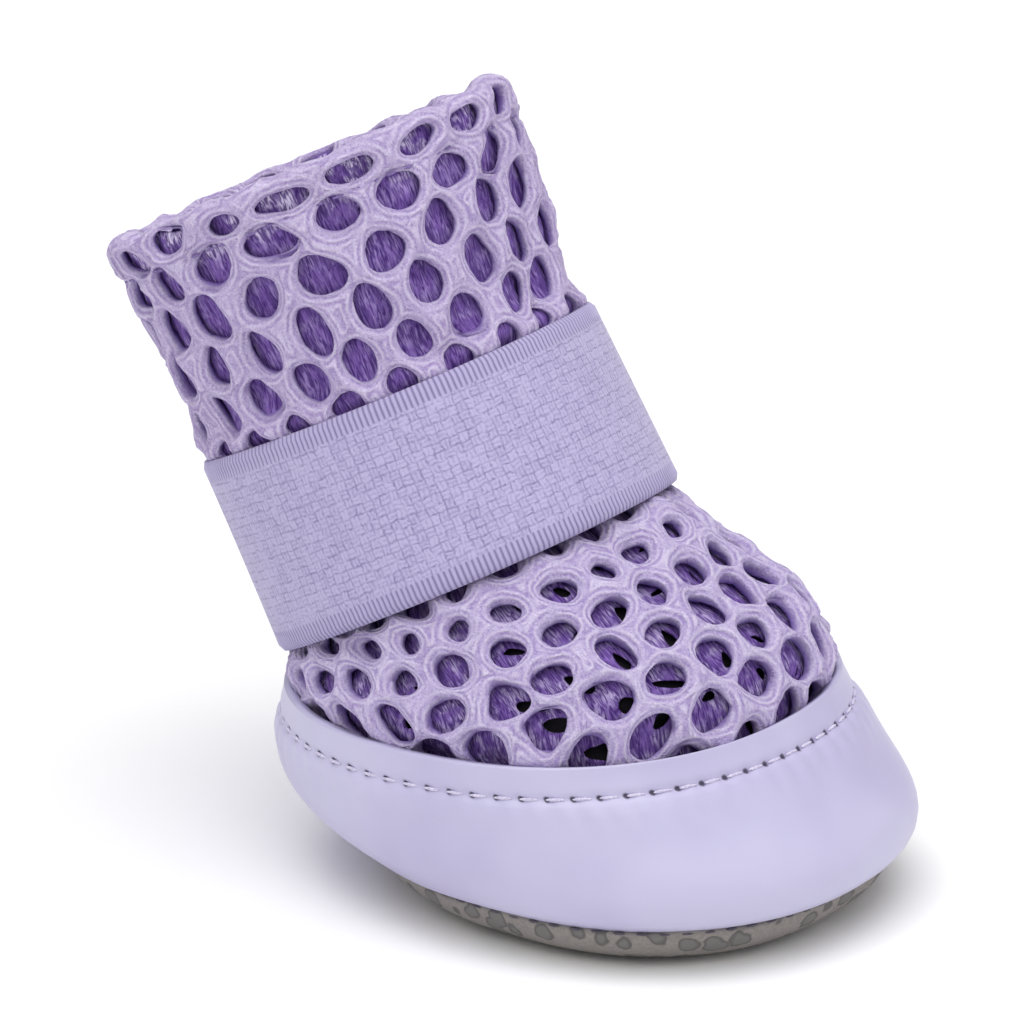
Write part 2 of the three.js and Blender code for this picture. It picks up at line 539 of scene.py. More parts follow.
def tube_form(segments: int, rows: int) -> bmesh.types.BMesh:
    """Makes an open tube of radius 1 and height 1, to be drawn over the last.

    Args:
        segments: Faces round it.
        rows: Faces from its lower to its upper edge.

    Returns:
        The tube.
    """
    form = bmesh.new()
    bmesh.ops.create_cone(form, cap_ends=False, segments=segments, radius1=1.0, radius2=1.0, depth=1.0)
    upright = [e for e in form.edges if abs(e.verts[0].co.z - e.verts[1].co.z) > 0.5]
    bmesh.ops.subdivide_edges(form, edges=upright, cuts=rows - 1, use_grid_fill=True)
    return form


def show(
    mesh: bpy.types.Mesh,
    materials: Sequence[bpy.types.Material],
    replaces: str | None = None,
) -> bpy.types.Object:
    """Shows a mesh as a piece of the boot.

    Args:
        mesh: The mesh, whose name the piece takes.
        materials: Its materials, in the order of its faces' numbers.
        replaces: The frame's node that it stands for, if any.

    Returns:
        The piece.
    """
    piece = bpy.data.objects.new(mesh.name, mesh)
    bpy.context.scene.collection.objects.link(piece)
    mesh.materials.clear()
    for material in materials:
        mesh.materials.append(material)
    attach(piece, "root")
    if replaces:
        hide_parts(replaces)
    LOG.info("%s: %d faces", mesh.name, len(mesh.polygons))
    return piece


# Finishes


def blend(
    tree: bpy.types.NodeTree,
    value: bpy.types.Node | bpy.types.NodeSocket,
    start: float,
    end: float,
    colours: tuple[str, str],
) -> bpy.types.Node:
    """Spreads a value over two colours.

    Args:
        tree: The material's node tree.
        value: The value.
        start: Where the first colour ends.
        end: Where the second colour starts.
        colours: The two colours, as hex digits.

    Returns:
        The node that gives the colour.
    """
    tone = add_node(tree, "MapRange", {"Value": value, "From Min": start, "From Max": end})
    first, second = (to_linear(colour) for colour in colours)
    return add_node(tree, "Mix", {0: tone, 6: first, 7: second}, data_type="RGBA")


class Finish:
    """A finish of the boot, which makes one material."""

    name: str

    def shader(self, tree: bpy.types.NodeTree) -> bpy.types.Node:
        """Adds the finish's own nodes and returns its shader."""
        raise NotImplementedError

    def material(self) -> bpy.types.Material:
        """Makes the material.

        Returns:
            The material, with the finish's shader on its surface.
        """
        material = bpy.data.materials.new(self.name)
        material.use_nodes = True
        tree = material.node_tree
        tree.nodes.clear()
        add_node(tree, "OutputMaterial", {"Surface": self.shader(tree)})
        return material


@dataclass(frozen=True)
class KnittedMesh(Finish):
    """Fluffy polyester yarn, knitted round open holes.

    It gives soft, matt webs with two or three yarn ridges that flow round each hole,
    pale on their crowns as painted highlight and darker in the grooves between them as
    painted shade, with a deeper purple of painted shade at the holes' edges and down in
    their walls. Sizes are in millimetres, and bend is in radians of a ridge's wave.
    """

    name: str = "knitted_polyester_mesh"
    # Colours: the pale crown tone is painted highlight on the ridges, the second colour painted shade in the
    # grooves between them, and wall the painted shade at the holes' edges and down in their walls.
    crown: str = "E8DCFB"
    groove_shade: str = "B09AD3"
    wall: str = "7F62B5"
    ridge: float = 0.62
    bend: float = 7.0
    bend_size: float = 2.4
    fade_size: float = 1.3
    fluff: float = 0.22
    relief: float = 0.5

    def shader(self, tree: bpy.types.NodeTree) -> bpy.types.Node:
        """Adds the nodes, which read the cloth's from_hole and depth attributes.

        Args:
            tree: The material's node tree.

        Returns:
            The shader.
        """
        place = add_node(tree, "TexCoord").outputs["Object"]
        from_hole = add_node(tree, "Attribute", attribute_name="from_hole").outputs["Fac"]
        depth = add_node(tree, "Attribute", attribute_name="depth").outputs["Fac"]
        wander = add_node(
            tree, "TexNoise", {"Vector": place, "Scale": 1 / (self.bend_size * MM), "Detail": 1.0}
        )
        come_and_go = add_node(
            tree, "TexNoise", {"Vector": place, "Scale": 1 / (self.fade_size * MM), "Detail": 2.0}
        )
        fine = {"Scale": 1 / (self.fluff * MM), "Detail": 3.0, "Roughness": 0.65, "Distortion": 0.6}
        fluff = add_node(tree, "TexNoise", {"Vector": place, **fine})
        phase = add_node(
            tree, "Math", {0: from_hole, 1: FULL_TURN / self.ridge, 2: -1.0}, operation="MULTIPLY_ADD"
        )
        bent = add_node(tree, "Math", {0: wander, 1: self.bend, 2: phase}, operation="MULTIPLY_ADD")
        wave = add_node(tree, "Math", {0: bent}, operation="SINE")
        fade = {"From Min": 0.34, "From Max": 0.58, "To Min": 0.03, "To Max": 0.23}
        seen = add_node(tree, "MapRange", {"Value": come_and_go, **fade})
        strands = add_node(tree, "Math", {0: wave, 1: seen, 2: fluff}, operation="MULTIPLY_ADD")
        # The web's colour follows the strands: painted shade in the grooves between them and painted
        # highlight on their crowns.
        web = blend(tree, strands, 0.22, 0.76, (self.groove_shade, self.crown))
        # Painted shade: the wall colour creeps in near each hole's edge and deeper in the cloth.
        near = {"From Min": -0.3, "From Max": 0.15, "To Min": 0.25, "To Max": 0.0}
        hole_edge_shade = add_node(tree, "MapRange", {"Value": from_hole, **near})
        low = {"From Min": 0.3, "From Max": 0.85, "To Max": 0.85}
        depth_shade = add_node(tree, "MapRange", {"Value": depth, **low})
        painted_shade = add_node(tree, "Math", {0: depth_shade, 1: hole_edge_shade}, operation="ADD", use_clamp=True)
        colour = add_node(tree, "Mix", {0: painted_shade, 6: web, 7: to_linear(self.wall)}, data_type="RGBA")
        bump = add_node(
            tree, "Bump", {"Height": strands, "Strength": 0.9, "Distance": self.relief * MM}
        )
        return add_node(
            tree,
            "BsdfPrincipled",
            {
                "Base Color": colour,
                "Roughness": 0.85,
                "Specular IOR Level": 0.2,
                "Sheen Weight": 0.06,
                "Sheen Roughness": 0.5,
                "Sheen Tint": to_linear(self.crown),
                "Normal": bump,
            },
        )


@dataclass(frozen=True)
class PileLayer(Finish):
    """The mesh's second layer, a brushed knit behind the holes, coloured darker as painted shade.

    It gives fine upright pile lines in a deeper purple, darkened as painted shade, and
    near-white flecks of painted highlight inside the hem, fainter elsewhere. Sizes are in
    millimetres, and lean turns the pile, in radians.
    """

    name: str = "brushed_back_layer"
    # pale and dark are the pile's tones, darkened as painted shade behind the holes; hem is the near-white
    # colour of painted highlight flecks.
    pale: str = "8D6DBC"
    dark: str = "482C74"
    hem: str = "E4DAF4"
    streak: float = 0.3
    streak_length: float = 1.7
    lean: float = 0.12
    highlight_blot: float = 1.5
    relief: float = 0.3

    def shader(self, tree: bpy.types.NodeTree) -> bpy.types.Node:
        """Adds the nodes, which read the layer's map in millimetres and its hem attribute.

        Args:
            tree: The material's node tree.

        Returns:
            The shader.
        """
        place = add_node(tree, "TexCoord")
        hem = add_node(tree, "Attribute", attribute_name="hem").outputs["Fac"]
        stretch = (1 / self.streak, 1 / self.streak_length, 1.0)
        drawn = add_node(
            tree,
            "Mapping",
            {"Vector": place.outputs["UV"], "Rotation": (0.0, 0.0, self.lean), "Scale": stretch},
        )
        streaks = add_node(
            tree, "TexNoise", {"Vector": drawn, "Scale": 1.0, "Detail": 2.0, "Distortion": 1.1}
        )
        highlight_blots = add_node(
            tree,
            "TexNoise",
            {"Vector": place.outputs["Object"], "Scale": 1 / (self.highlight_blot * MM), "Detail": 2.0},
        )
        # The pile is coloured darker than the face's yarn, as painted shade; its streaks are the pile's own
        # texture.
        pile = blend(tree, streaks, 0.34, 0.68, (self.dark, self.pale))
        # Painted highlight: near-white flecks where bright patches and streaks meet, strongest in the hem.
        highlight_patch = add_node(tree, "MapRange", {"Value": highlight_blots, "From Min": 0.42, "From Max": 0.6})
        highlight_range = {"From Min": 0.46, "From Max": 0.62, "To Min": 0.1}
        highlight_flecks = add_node(tree, "MapRange", {"Value": streaks, **highlight_range})
        painted_highlight = add_node(tree, "Math", {0: highlight_patch, 1: highlight_flecks}, operation="MULTIPLY")
        hem_highlight_share = add_node(tree, "MapRange", {"Value": hem, "To Min": 0.2, "To Max": 1.0})
        fluff = add_node(tree, "Math", {0: painted_highlight, 1: hem_highlight_share}, operation="MULTIPLY")
        colour = add_node(tree, "Mix", {0: fluff, 6: pile, 7: to_linear(self.hem)}, data_type="RGBA")
        bump = add_node(
            tree, "Bump", {"Height": streaks, "Strength": 0.8, "Distance": self.relief * MM}
        )
        return add_node(
            tree,
            "BsdfPrincipled",
            {
                "Base Color": colour,
                "Roughness": 0.85,
                "Specular IOR Level": 0.2,
                "Sheen Weight": 0.06,
                "Sheen Tint": to_linear(self.pale),
                "Normal": bump,
            },
        )


@dataclass(frozen=True)
class CoatedCloth(Finish):
    """Faux leather: a smooth polyurethane coat on knitted backing.

    It gives a satin lavender face with a faint grain, and small dark dots of painted
    shade at the needle holes where the stitches go in. Its sizes are in millimetres.
    """

    name: str = "coated_faux_leather"
    face: str = "BFBBD8"
    shade: str = "B6B0D1"
    # The third colour is painted shade: dark dots at the needle holes along the stitch line.
    needle_hole_shade: str = "3E3650"
    stitch_line: float = 3.3
    stitch_pitch: float = 2.6
    dent_bottom: float = 0.18
    dent_edge: float = 0.44
    cloud: float = 16.0
    grain: float = 0.55
    relief: float = 0.04

    def shader(self, tree: bpy.types.NodeTree) -> bpy.types.Node:
        """Adds the nodes; the piece's map counts stitches along and millimetres down.

        Args:
            tree: The material's node tree.

        Returns:
            The shader.
        """
        place = add_node(tree, "TexCoord")
        on_piece = place.outputs["Object"]
        clouds = add_node(
            tree, "TexNoise", {"Vector": on_piece, "Scale": 1 / (self.cloud * MM), "Detail": 2.0}
        )
        grain = add_node(tree, "TexVoronoi", {"Vector": on_piece, "Scale": 1 / (self.grain * MM)})
        split = add_node(tree, "SeparateXYZ", {0: place.outputs["UV"]})
        part = add_node(tree, "Math", {0: split.outputs[0]}, operation="FRACT")
        pitch = self.stitch_pitch
        along = add_node(tree, "Math", {0: part, 1: pitch, 2: -pitch / 2}, operation="MULTIPLY_ADD")
        down = add_node(
            tree, "Math", {0: split.outputs[1], 1: self.stitch_line}, operation="SUBTRACT"
        )
        offset = add_node(tree, "CombineXYZ", {0: along, 1: down})
        reach = add_node(tree, "VectorMath", {0: offset}, operation="LENGTH").outputs["Value"]
        # Painted shade: a dark dot at each needle hole, between the stitches on the stitch line.
        size = {"From Min": self.dent_bottom, "From Max": self.dent_edge, "To Min": 1.0, "To Max": 0.0}
        needle_hole_shade = add_node(tree, "MapRange", {"Value": reach, **size}, interpolation_type="SMOOTHSTEP")
        face = blend(tree, clouds, 0.35, 0.65, (self.shade, self.face))
        colour = add_node(tree, "Mix", {0: needle_hole_shade, 6: face, 7: to_linear(self.needle_hole_shade)}, data_type="RGBA")
        bump = add_node(
            tree,
            "Bump",
            {"Height": grain, "Strength": 0.12, "Distance": self.relief * MM},
        )
        return add_node(
            tree,
            "BsdfPrincipled",
            {
                "Base Color": colour,
                "Roughness": 0.42,
                "IOR": 1.5,
                "Coat Weight": 0.12,
                "Coat Roughness": 0.4,
                "Normal": bump,
            },
        )


@dataclass(frozen=True)
class PlainCloth(Finish):
    """A plain matt cloth, thread or ground with a fine uneven surface.

    It gives one quiet colour, broken up by soft blots of the given spacing. Sizes are in
    millimetres.
    """

    name: str
    light: str
    dark: str
    spacing: float
    roughness: float = 0.9
    relief: float = 0.08

    def shader(self, tree: bpy.types.NodeTree) -> bpy.types.Node:
        """Adds the nodes, which read the piece's own place.

        Args:
            tree: The material's node tree.

        Returns:
            The shader.
        """
        place = add_node(tree, "TexCoord").outputs["Object"]
        threads = add_node(
            tree, "TexNoise", {"Vector": place, "Scale": 1 / (self.spacing * MM), "Detail": 2.0}
        )
        colour = blend(tree, threads, 0.3, 0.7, (self.dark, self.light))
        bump = add_node(
            tree, "Bump", {"Height": threads, "Strength": 0.6, "Distance": self.relief * MM}
        )
        surface = {"Base Color": colour, "Roughness": self.roughness, "Normal": bump}
        return add_node(tree, "BsdfPrincipled", surface)


@dataclass(frozen=True)
class SpottedSoleCloth(Finish):
    """Anti-slip sole cloth: brushed grey cloth with darker rubbery spots.

    It gives a matt warm grey with irregular oval spots about 2.5 mm long, each with a
    darker outline. Sizes are in millimetres; the spots' edge is a share of their spacing.
    """

    name: str = "anti_slip_sole_cloth"
    ground: str = "99938F"
    ground_dark: str = "6E6967"
    spot: str = "706D6C"
    outline: str = "555251"
    spacing: float = 3.2
    wander: float = 1.8
    wander_size: float = 2.5
    nap: float = 0.35
    nap_relief: float = 0.12
    spot_relief: float = 0.15

    def shader(self, tree: bpy.types.NodeTree) -> bpy.types.Node:
        """Adds the nodes, which read the piece's own place.

        Args:
            tree: The material's node tree.

        Returns:
            The shader.
        """
        place = add_node(tree, "TexCoord").outputs["Object"]
        wander = add_node(
            tree, "TexNoise", {"Vector": place, "Scale": 1 / (self.wander_size * MM), "Detail": 2.0}
        )
        shift = add_node(
            tree,
            "VectorMath",
            {0: wander.outputs["Color"], 1: (self.wander * MM,) * 3, 2: place},
            operation="MULTIPLY_ADD",
        )
        longer = add_node(
            tree,
            "Mapping",
            {"Vector": shift, "Rotation": (0.0, 0.0, 0.9), "Scale": (1.3, 0.85, 1.0)},
        )
        spots = add_node(
            tree,
            "TexVoronoi",
            {"Vector": longer, "Scale": 1 / (self.spacing * MM), "Randomness": 0.55},
        )
        nap = add_node(
            tree, "TexNoise", {"Vector": place, "Scale": 1 / (self.nap * MM), "Detail": 3.0}
        )
        dark, light = to_linear(self.ground_dark), to_linear(self.ground)
        ground = add_node(tree, "Mix", {0: nap, 6: dark, 7: light}, data_type="RGBA")
        edge = {"From Min": 0.38, "From Max": 0.44, "To Min": 1.0, "To Max": 0.0}
        inside = add_node(tree, "MapRange", {"Value": spots, **edge})
        spot = blend(tree, spots, 0.28, 0.4, (self.spot, self.outline))
        colour = add_node(tree, "Mix", {0: inside, 6: ground, 7: spot}, data_type="RGBA")
        bump = add_node(
            tree, "Bump", {"Height": nap, "Strength": 0.5, "Distance": self.nap_relief * MM}
        )
        step = {"Height": inside, "Strength": 0.6, "Distance": self.spot_relief * MM}
        raised = add_node(tree, "Bump", {**step, "Normal": bump})
        surface = {"Base Color": colour, "Roughness": 0.85, "Normal": raised}
        return add_node(tree, "BsdfPrincipled", surface)


@dataclass(frozen=True)
class HookTape(Finish):
    """Woven hook-and-loop tape with ribbed selvedges.

    It gives a fine basket weave whose colour follows its height, with painted shade as
    irregular dark dashes between its threads and painted highlight on the blocks, framed
    by smooth ribbed edges with painted shade in their grooves. Its sizes are in millimetres.
    """

    name: str = "woven_nylon_tape"
    # The first two colours are the weave's thread tone, with painted highlight on the blocks, and the
    # painted shade between the threads; the last two are the selvedge ribs' tops and the painted shade in
    # their grooves.
    thread: str = "B6ADD2"
    weave_gap_shade: str = "857BA8"
    selvedge: str = "AFA6CC"
    rib_groove_shade: str = "877DA8"
    width: float = 20.0
    selvedge_width: float = 2.1
    cell: float = 0.92
    rib: float = 0.57
    wander: float = 0.65
    wander_size: float = 1.1
    uneven_size: float = 0.8
    fuzz: float = 0.25
    relief: float = 0.12

    def waves(
        self, tree: bpy.types.NodeTree, cells: bpy.types.Node, turn: float
    ) -> tuple[bpy.types.NodeSocket, bpy.types.NodeSocket]:
        """Adds nodes that give the waves of the threads both ways.

        Args:
            tree: The material's node tree.
            cells: Places counted in blocks of the weave.
            turn: Radians of wave for one block.

        Returns:
            The waves along and across the tape, from 0 to 1.
        """
        turns = add_node(tree, "VectorMath", {0: cells, 1: (turn, turn, 0.0)}, operation="MULTIPLY")
        sines = add_node(tree, "VectorMath", {0: turns}, operation="SINE")
        sizes = add_node(tree, "VectorMath", {0: sines}, operation="ABSOLUTE")
        split = add_node(tree, "SeparateXYZ", {0: sizes})
        return split.outputs[0], split.outputs[1]

    def weave(self, tree: bpy.types.NodeTree, place: bpy.types.Node) -> bpy.types.Node:
        """Adds the nodes of the fuzzy basket weave.

        Args:
            tree: The material's node tree.
            place: The piece's own places and map.

        Returns:
            The node that gives the weave's height.
        """
        on_piece, on_tape = place.outputs["Object"], place.outputs["UV"]
        wander, uneven, fuzz = (
            add_node(tree, "TexNoise", {"Vector": on_piece, "Scale": 1 / (size * MM), "Detail": detail})
            for size, detail in ((self.wander_size, 3.0), (self.uneven_size, 2.0), (self.fuzz, 2.0))
        )
        shifted = add_node(
            tree,
            "VectorMath",
            {0: wander.outputs["Color"], 1: (self.wander, self.wander, 0.0), 2: on_tape},
            operation="MULTIPLY_ADD",
        )
        blocks = (1 / self.cell, 1 / self.cell, 0.0)
        cells = add_node(tree, "VectorMath", {0: shifted, 1: blocks}, operation="MULTIPLY")
        checks = add_node(tree, "TexChecker", {"Vector": cells, "Scale": 1.0}).outputs["Fac"]
        along, across = self.waves(tree, cells, FULL_TURN)
        pair = add_node(tree, "Mix", {0: checks, 2: along, 3: across}, data_type="FLOAT")
        along, across = self.waves(tree, cells, FULL_TURN / 2)
        border = add_node(tree, "Math", {0: along, 1: across}, operation="MINIMUM")
        block = add_node(tree, "MapRange", {"Value": border, "From Min": 0.0, "From Max": 0.55})
        number = add_node(tree, "VectorMath", {0: cells}, operation="FLOOR")
        lot = add_node(tree, "TexWhiteNoise", {"Vector": number})
        reach = {"From Min": 0.35, "From Max": 0.65, "To Min": 0.0, "To Max": 0.6}
        depth = add_node(tree, "MapRange", {"Value": uneven, **reach})
        height = add_node(tree, "Math", {0: block, 1: depth}, operation="MULTIPLY")
        for share, weight in ((depth, -0.9), (lot, 0.25), (pair, 0.32), (fuzz, 0.9)):
            height = add_node(tree, "Math", {0: share, 1: weight, 2: height}, operation="MULTIPLY_ADD")
        return height

    def shader(self, tree: bpy.types.NodeTree) -> bpy.types.Node:
        """Adds the nodes; the piece's map is in millimetres along and across the tape.

        Args:
            tree: The material's node tree.

        Returns:
            The shader.
        """
        place = add_node(tree, "TexCoord")
        split = add_node(tree, "SeparateXYZ", {0: place.outputs["UV"]})
        weave = self.weave(tree, place)
        # The colour follows the weave's height: painted shade low between the threads, painted highlight on
        # the blocks' tops.
        middle = blend(tree, weave, 0.05, 0.95, (self.weave_gap_shade, self.thread))
        phase = add_node(
            tree, "Math", {0: split.outputs[0], 1: FULL_TURN / self.rib}, operation="MULTIPLY"
        )
        wave = add_node(tree, "Math", {0: phase}, operation="COSINE")
        ribs = add_node(tree, "MapRange", {"Value": wave, "From Min": -0.9, "From Max": 0.1})
        # Painted shade in the selvedge's rib grooves, the lighter tone on the ribs' tops.
        low, high = to_linear(self.rib_groove_shade), to_linear(self.selvedge)
        edge = add_node(tree, "Mix", {0: ribs, 6: low, 7: high}, data_type="RGBA")
        half = self.width / 2
        off = add_node(tree, "Math", {0: split.outputs[1], 1: half}, operation="SUBTRACT")
        off = add_node(tree, "Math", {0: off}, operation="ABSOLUTE")
        seam = half - self.selvedge_width
        in_edge = add_node(
            tree, "MapRange", {"Value": off, "From Min": seam - 0.1, "From Max": seam + 0.1}
        )
        colour = add_node(tree, "Mix", {0: in_edge, 6: middle, 7: edge}, data_type="RGBA")
        height = add_node(tree, "Mix", {0: in_edge, 2: weave, 3: ribs}, data_type="FLOAT")
        bump = add_node(
            tree, "Bump", {"Height": height, "Strength": 0.7, "Distance": self.relief * MM}
        )
        return add_node(
            tree,
            "BsdfPrincipled",
            {
                "Base Color": colour,
                "Roughness": 0.75,
                "Sheen Weight": 0.3,
                "Sheen Roughness": 0.4,
                "Normal": bump,
            },
        )


# The pieces


@dataclass(frozen=True)
class HoleRow:
    """A row of holes: how far down the cloth it lies and its holes' sizes, in millimetres."""

    place: float
    width: float
    height: float


@dataclass(frozen=True)
class Hole:
    """One hole: its middle and half sizes in millimetres, and how it is out of round.

    taper narrows it upwards and lean shears it, as shares; turn turns it, in radians.
    """

    x: float
    y: float
    half_width: float
    half_height: float
    taper: float
    lean: float
    turn: float

    def edge(self, angle: float, reach: float) -> tuple[float, float]:
        """A point on the hole's edge, or off it where reach isn't 1.

        Args:
            angle: Its angle about the hole's middle, in radians.
            reach: Its share of the way from the middle to the edge.

        Returns:
            Its x and y.
        """
        up = math.sin(angle) * self.half_height * reach
        side = math.cos(angle) * self.half_width * reach * (1 - self.taper * math.sin(angle))
        side += self.lean * up
        cos, sin = math.cos(self.turn), math.sin(self.turn)
        return self.x + side * cos - up * sin, self.y + side * sin + up * cos

    def share(self, x: np.ndarray, y: np.ndarray) -> np.ndarray:
        """How far out points lie: 1 on the hole's edge, more outside it.

        Args:
            x: Distances sideways from the middle.
            y: Distances upwards from the middle.

        Returns:
            A share for each point.
        """
        cos, sin = math.cos(self.turn), math.sin(self.turn)
        side, up = x * cos + y * sin, y * cos - x * sin
        side = (side - self.lean * up) / self.half_width
        up = up / self.half_height
        side = side / (1 - self.taper * up / (np.hypot(side, up) + 1e-6))
        return np.hypot(side, up) + 1e-6


@dataclass
class HoleCloth:
    """Knitted cloth with staggered rows of round holes, made on a round form.

    The form is a cylinder, which is drawn over the last afterwards. Sizes are in
    millimetres. tuft is the spacing and fluff the height of the yarn's tufts; crown is how
    far the webs rise over their edges, all within crown_reach of a hole; far is given to
    places with no hole near them; inset is the web round a cell before its hole gets its
    outline. uneven scales every random draw, and shrink is the share of its size that a
    hole keeps when its corners are rounded. Where spread isn't 0, holes get smaller with
    their distance from the focus, both in degrees round the boot, down to the least share
    of their size.
    """

    columns: int
    pitch: float
    rows: tuple[HoleRow, ...]
    first_angle: float
    thickness: float
    uneven: float
    seed: int
    crown: float = 0.0
    crown_reach: float = 1.1
    far: float = 9.0
    taper: float = 0.0
    fluff: float = 0.1
    tuft: float = 0.8
    inset: float = 0.6
    crispness: float = 0.4
    shrink: float = 0.87
    levels: int = 2
    focus: float = 0.0
    spread: float = 0.0
    least: float = 0.35

    @property
    def radius(self) -> float:
        """The form's radius, in millimetres."""
        return self.columns * self.pitch / FULL_TURN

    def row_place(self, number: float) -> float:
        """How far down the cloth a row lies, between rows as well.

        Args:
            number: The row's number from the top.

        Returns:
            Its distance down, in millimetres.
        """
        places = [row.place for row in self.rows]
        first, last = places[1] - places[0], places[-1] - places[-2]
        places = [places[0] - first, *places, places[-1] + last]
        return float(np.interp(number + 1, range(len(places)), places))

    def honeycomb(self, chance: random.Random) -> bmesh.types.BMesh:
        """Lays the cloth out flat, as a field of uneven six-sided cells.

        Args:
            chance: The cloth's random numbers.

        Returns:
            The cells, with x round the cloth and y upwards.
        """
        form = bmesh.new()
        squash = Matrix.Diagonal((self.pitch / math.sqrt(3), 2 / 3, 1.0, 1.0))
        for number in range(len(self.rows)):
            for column in range(self.columns):
                x = (column + 0.5 * (number % 2)) * self.pitch
                bmesh.ops.create_circle(
                    form,
                    cap_ends=True,
                    segments=6,
                    radius=1.0,
                    matrix=Matrix.Translation((x, number, 0)) @ squash,
                )
        bmesh.ops.remove_doubles(form, verts=form.verts, dist=TOUCHING)
        moved = {}
        for vertex in form.verts:
            spot = (round(vertex.co.x / self.pitch * 2) % (2 * self.columns), round(vertex.co.y * 3))
            if spot not in moved:
                moved[spot] = Vector((chance.gauss(0, 1), chance.gauss(0, 1), 0)) * self.uneven * 2.0
            vertex.co.y = -self.row_place(vertex.co.y)
            vertex.co += moved[spot]
        return form

    def outline(self, cell: bmesh.types.BMFace, chance: random.Random) -> Hole:
        """Gives a cell's middle face the outline of its hole.

        Args:
            cell: The face, with six corners.
            chance: The cloth's random numbers.

        Returns:
            The hole.
        """
        centre = cell.calc_center_median()
        row = min(self.rows, key=lambda r: abs(r.place + centre.y))
        wide = max(abs(v.co.x - centre.x) for v in cell.verts)
        high = max(abs(v.co.y - centre.y) for v in cell.verts)
        size = 1.0
        if self.spread:
            off = turn_between(np.array(centre.x / self.radius), self.focus - self.first_angle)
            size = self.least + (1 - self.least) * float(hump(off, 0, self.spread))
        hole = Hole(
            x=centre.x + chance.gauss(0, 1) * self.uneven,
            y=centre.y + chance.gauss(0, 1) * self.uneven,
            half_width=row.width / 2 * size * (1 + chance.uniform(-0.8, 0.8) * self.uneven),
            half_height=row.height / 2 * size * (1 + chance.uniform(-0.8, 0.8) * self.uneven),
            taper=self.taper + chance.gauss(0, 1) * self.uneven,
            lean=chance.gauss(0, 1.2) * self.uneven,
            turn=chance.gauss(0, 1.2) * self.uneven,
        )
        for vertex in cell.verts:
            side = HEXAGON_WIDTH * (vertex.co.x - centre.x) / wide
            angle = math.atan2((vertex.co.y - centre.y) / high, side)
            reach = (1 + chance.gauss(0, 0.4) * self.uneven) / self.shrink
            vertex.co.x, vertex.co.y = hole.edge(angle, reach)
        return hole

    def form(self, keep: Callable[[float, float], bool]) -> tuple[bmesh.types.BMesh, list[Hole]]:
        """Makes the webs between the holes on the form, as a thin sheet.

        Args:
            keep: Says from a face's angle and its distance down whether it stays.

        Returns:
            The sheet and its holes, with y upwards.
        """
        chance = random.Random(self.seed)
        form = self.honeycomb(chance)
        bmesh.ops.inset_individual(form, faces=form.faces[:], thickness=self.inset)
        cells = [face for face in form.faces if len(face.verts) == 6]
        holes = [self.outline(cell, chance) for cell in cells]
        bmesh.ops.delete(form, geom=cells, context="FACES")
        for vertex in form.verts:
            angle = vertex.co.x / self.radius
            vertex.co = Vector(
                (self.radius * math.cos(angle), self.radius * math.sin(angle), vertex.co.y)
            )
        bmesh.ops.remove_doubles(form, verts=form.verts, dist=TOUCHING)
        outside = []
        for face in form.faces:
            middle = face.calc_center_median()
            angle = math.atan2(middle.y, middle.x) + math.radians(self.first_angle)
            if not keep(angle, -middle.z):
                outside.append(face)
        bmesh.ops.delete(form, geom=outside, context="FACES")
        form.normal_update()
        first = next(iter(form.faces))
        middle = first.calc_center_median()
        if first.normal.x * middle.x + first.normal.y * middle.y < 0:
            bmesh.ops.reverse_faces(form, faces=form.faces[:])
        return form, holes

    def knit(
        self, name: str, keep: Callable[[float, float], bool] = lambda angle, down: True
    ) -> tuple[bpy.types.Mesh, np.ndarray, np.ndarray, np.ndarray]:
        """Knits the cloth, with puffy rounded webs.

        Args:
            name: The mesh's name.
            keep: Says from a face's angle and its distance down whether it stays.

        Returns:
            The mesh on the form, and each vertex's angle on the last in radians, its
            distance down and its distance outwards from the cloth's middle.
        """
        form, holes = self.form(keep)
        wall = {"thickness": self.thickness, "offset": 0.0, "edge_crease_outer": self.crispness}
        rounding = {"levels": self.levels, "render_levels": self.levels}
        mesh = finished(form, name, [("SOLIDIFY", wall), ("SUBSURF", rounding)])
        points = read_points(mesh)
        noise.seed_set(self.seed)
        ruffled = np.array([noise.noise_vector(Vector(point) / self.tuft) for point in points])
        points += self.fluff * ruffled
        turn = np.arctan2(points[:, 1], points[:, 0])
        out = np.hypot(points[:, 0], points[:, 1]) - self.radius
        down = -points[:, 2]
        around = (turn % FULL_TURN) * self.radius
        whole = self.columns * self.pitch
        nearest = np.full(len(points), self.far)
        for hole in holes:
            x = (around - hole.x + whole / 2) % whole - whole / 2
            y = -down - hole.y
            near = (np.abs(x) < self.pitch) & (np.abs(y) < self.pitch)
            x, y = x[near], y[near]
            nearest[near] = np.minimum(nearest[near], np.hypot(x, y) * (1 - 1 / hole.share(x, y)))
        write_attribute(mesh, "from_hole", nearest)
        # The material paints shade from this depth: darker deeper in the cloth.
        write_attribute(mesh, "depth", np.clip(0.5 - out / self.thickness, 0, 1))
        top = np.clip(out / (self.thickness / 2), 0, 1)
        rise = np.sin(np.clip(nearest / self.crown_reach, 0, 1) * math.pi / 2)
        out = out + self.crown * top * (rise - 0.5)
        return mesh, turn + math.radians(self.first_angle), down, out


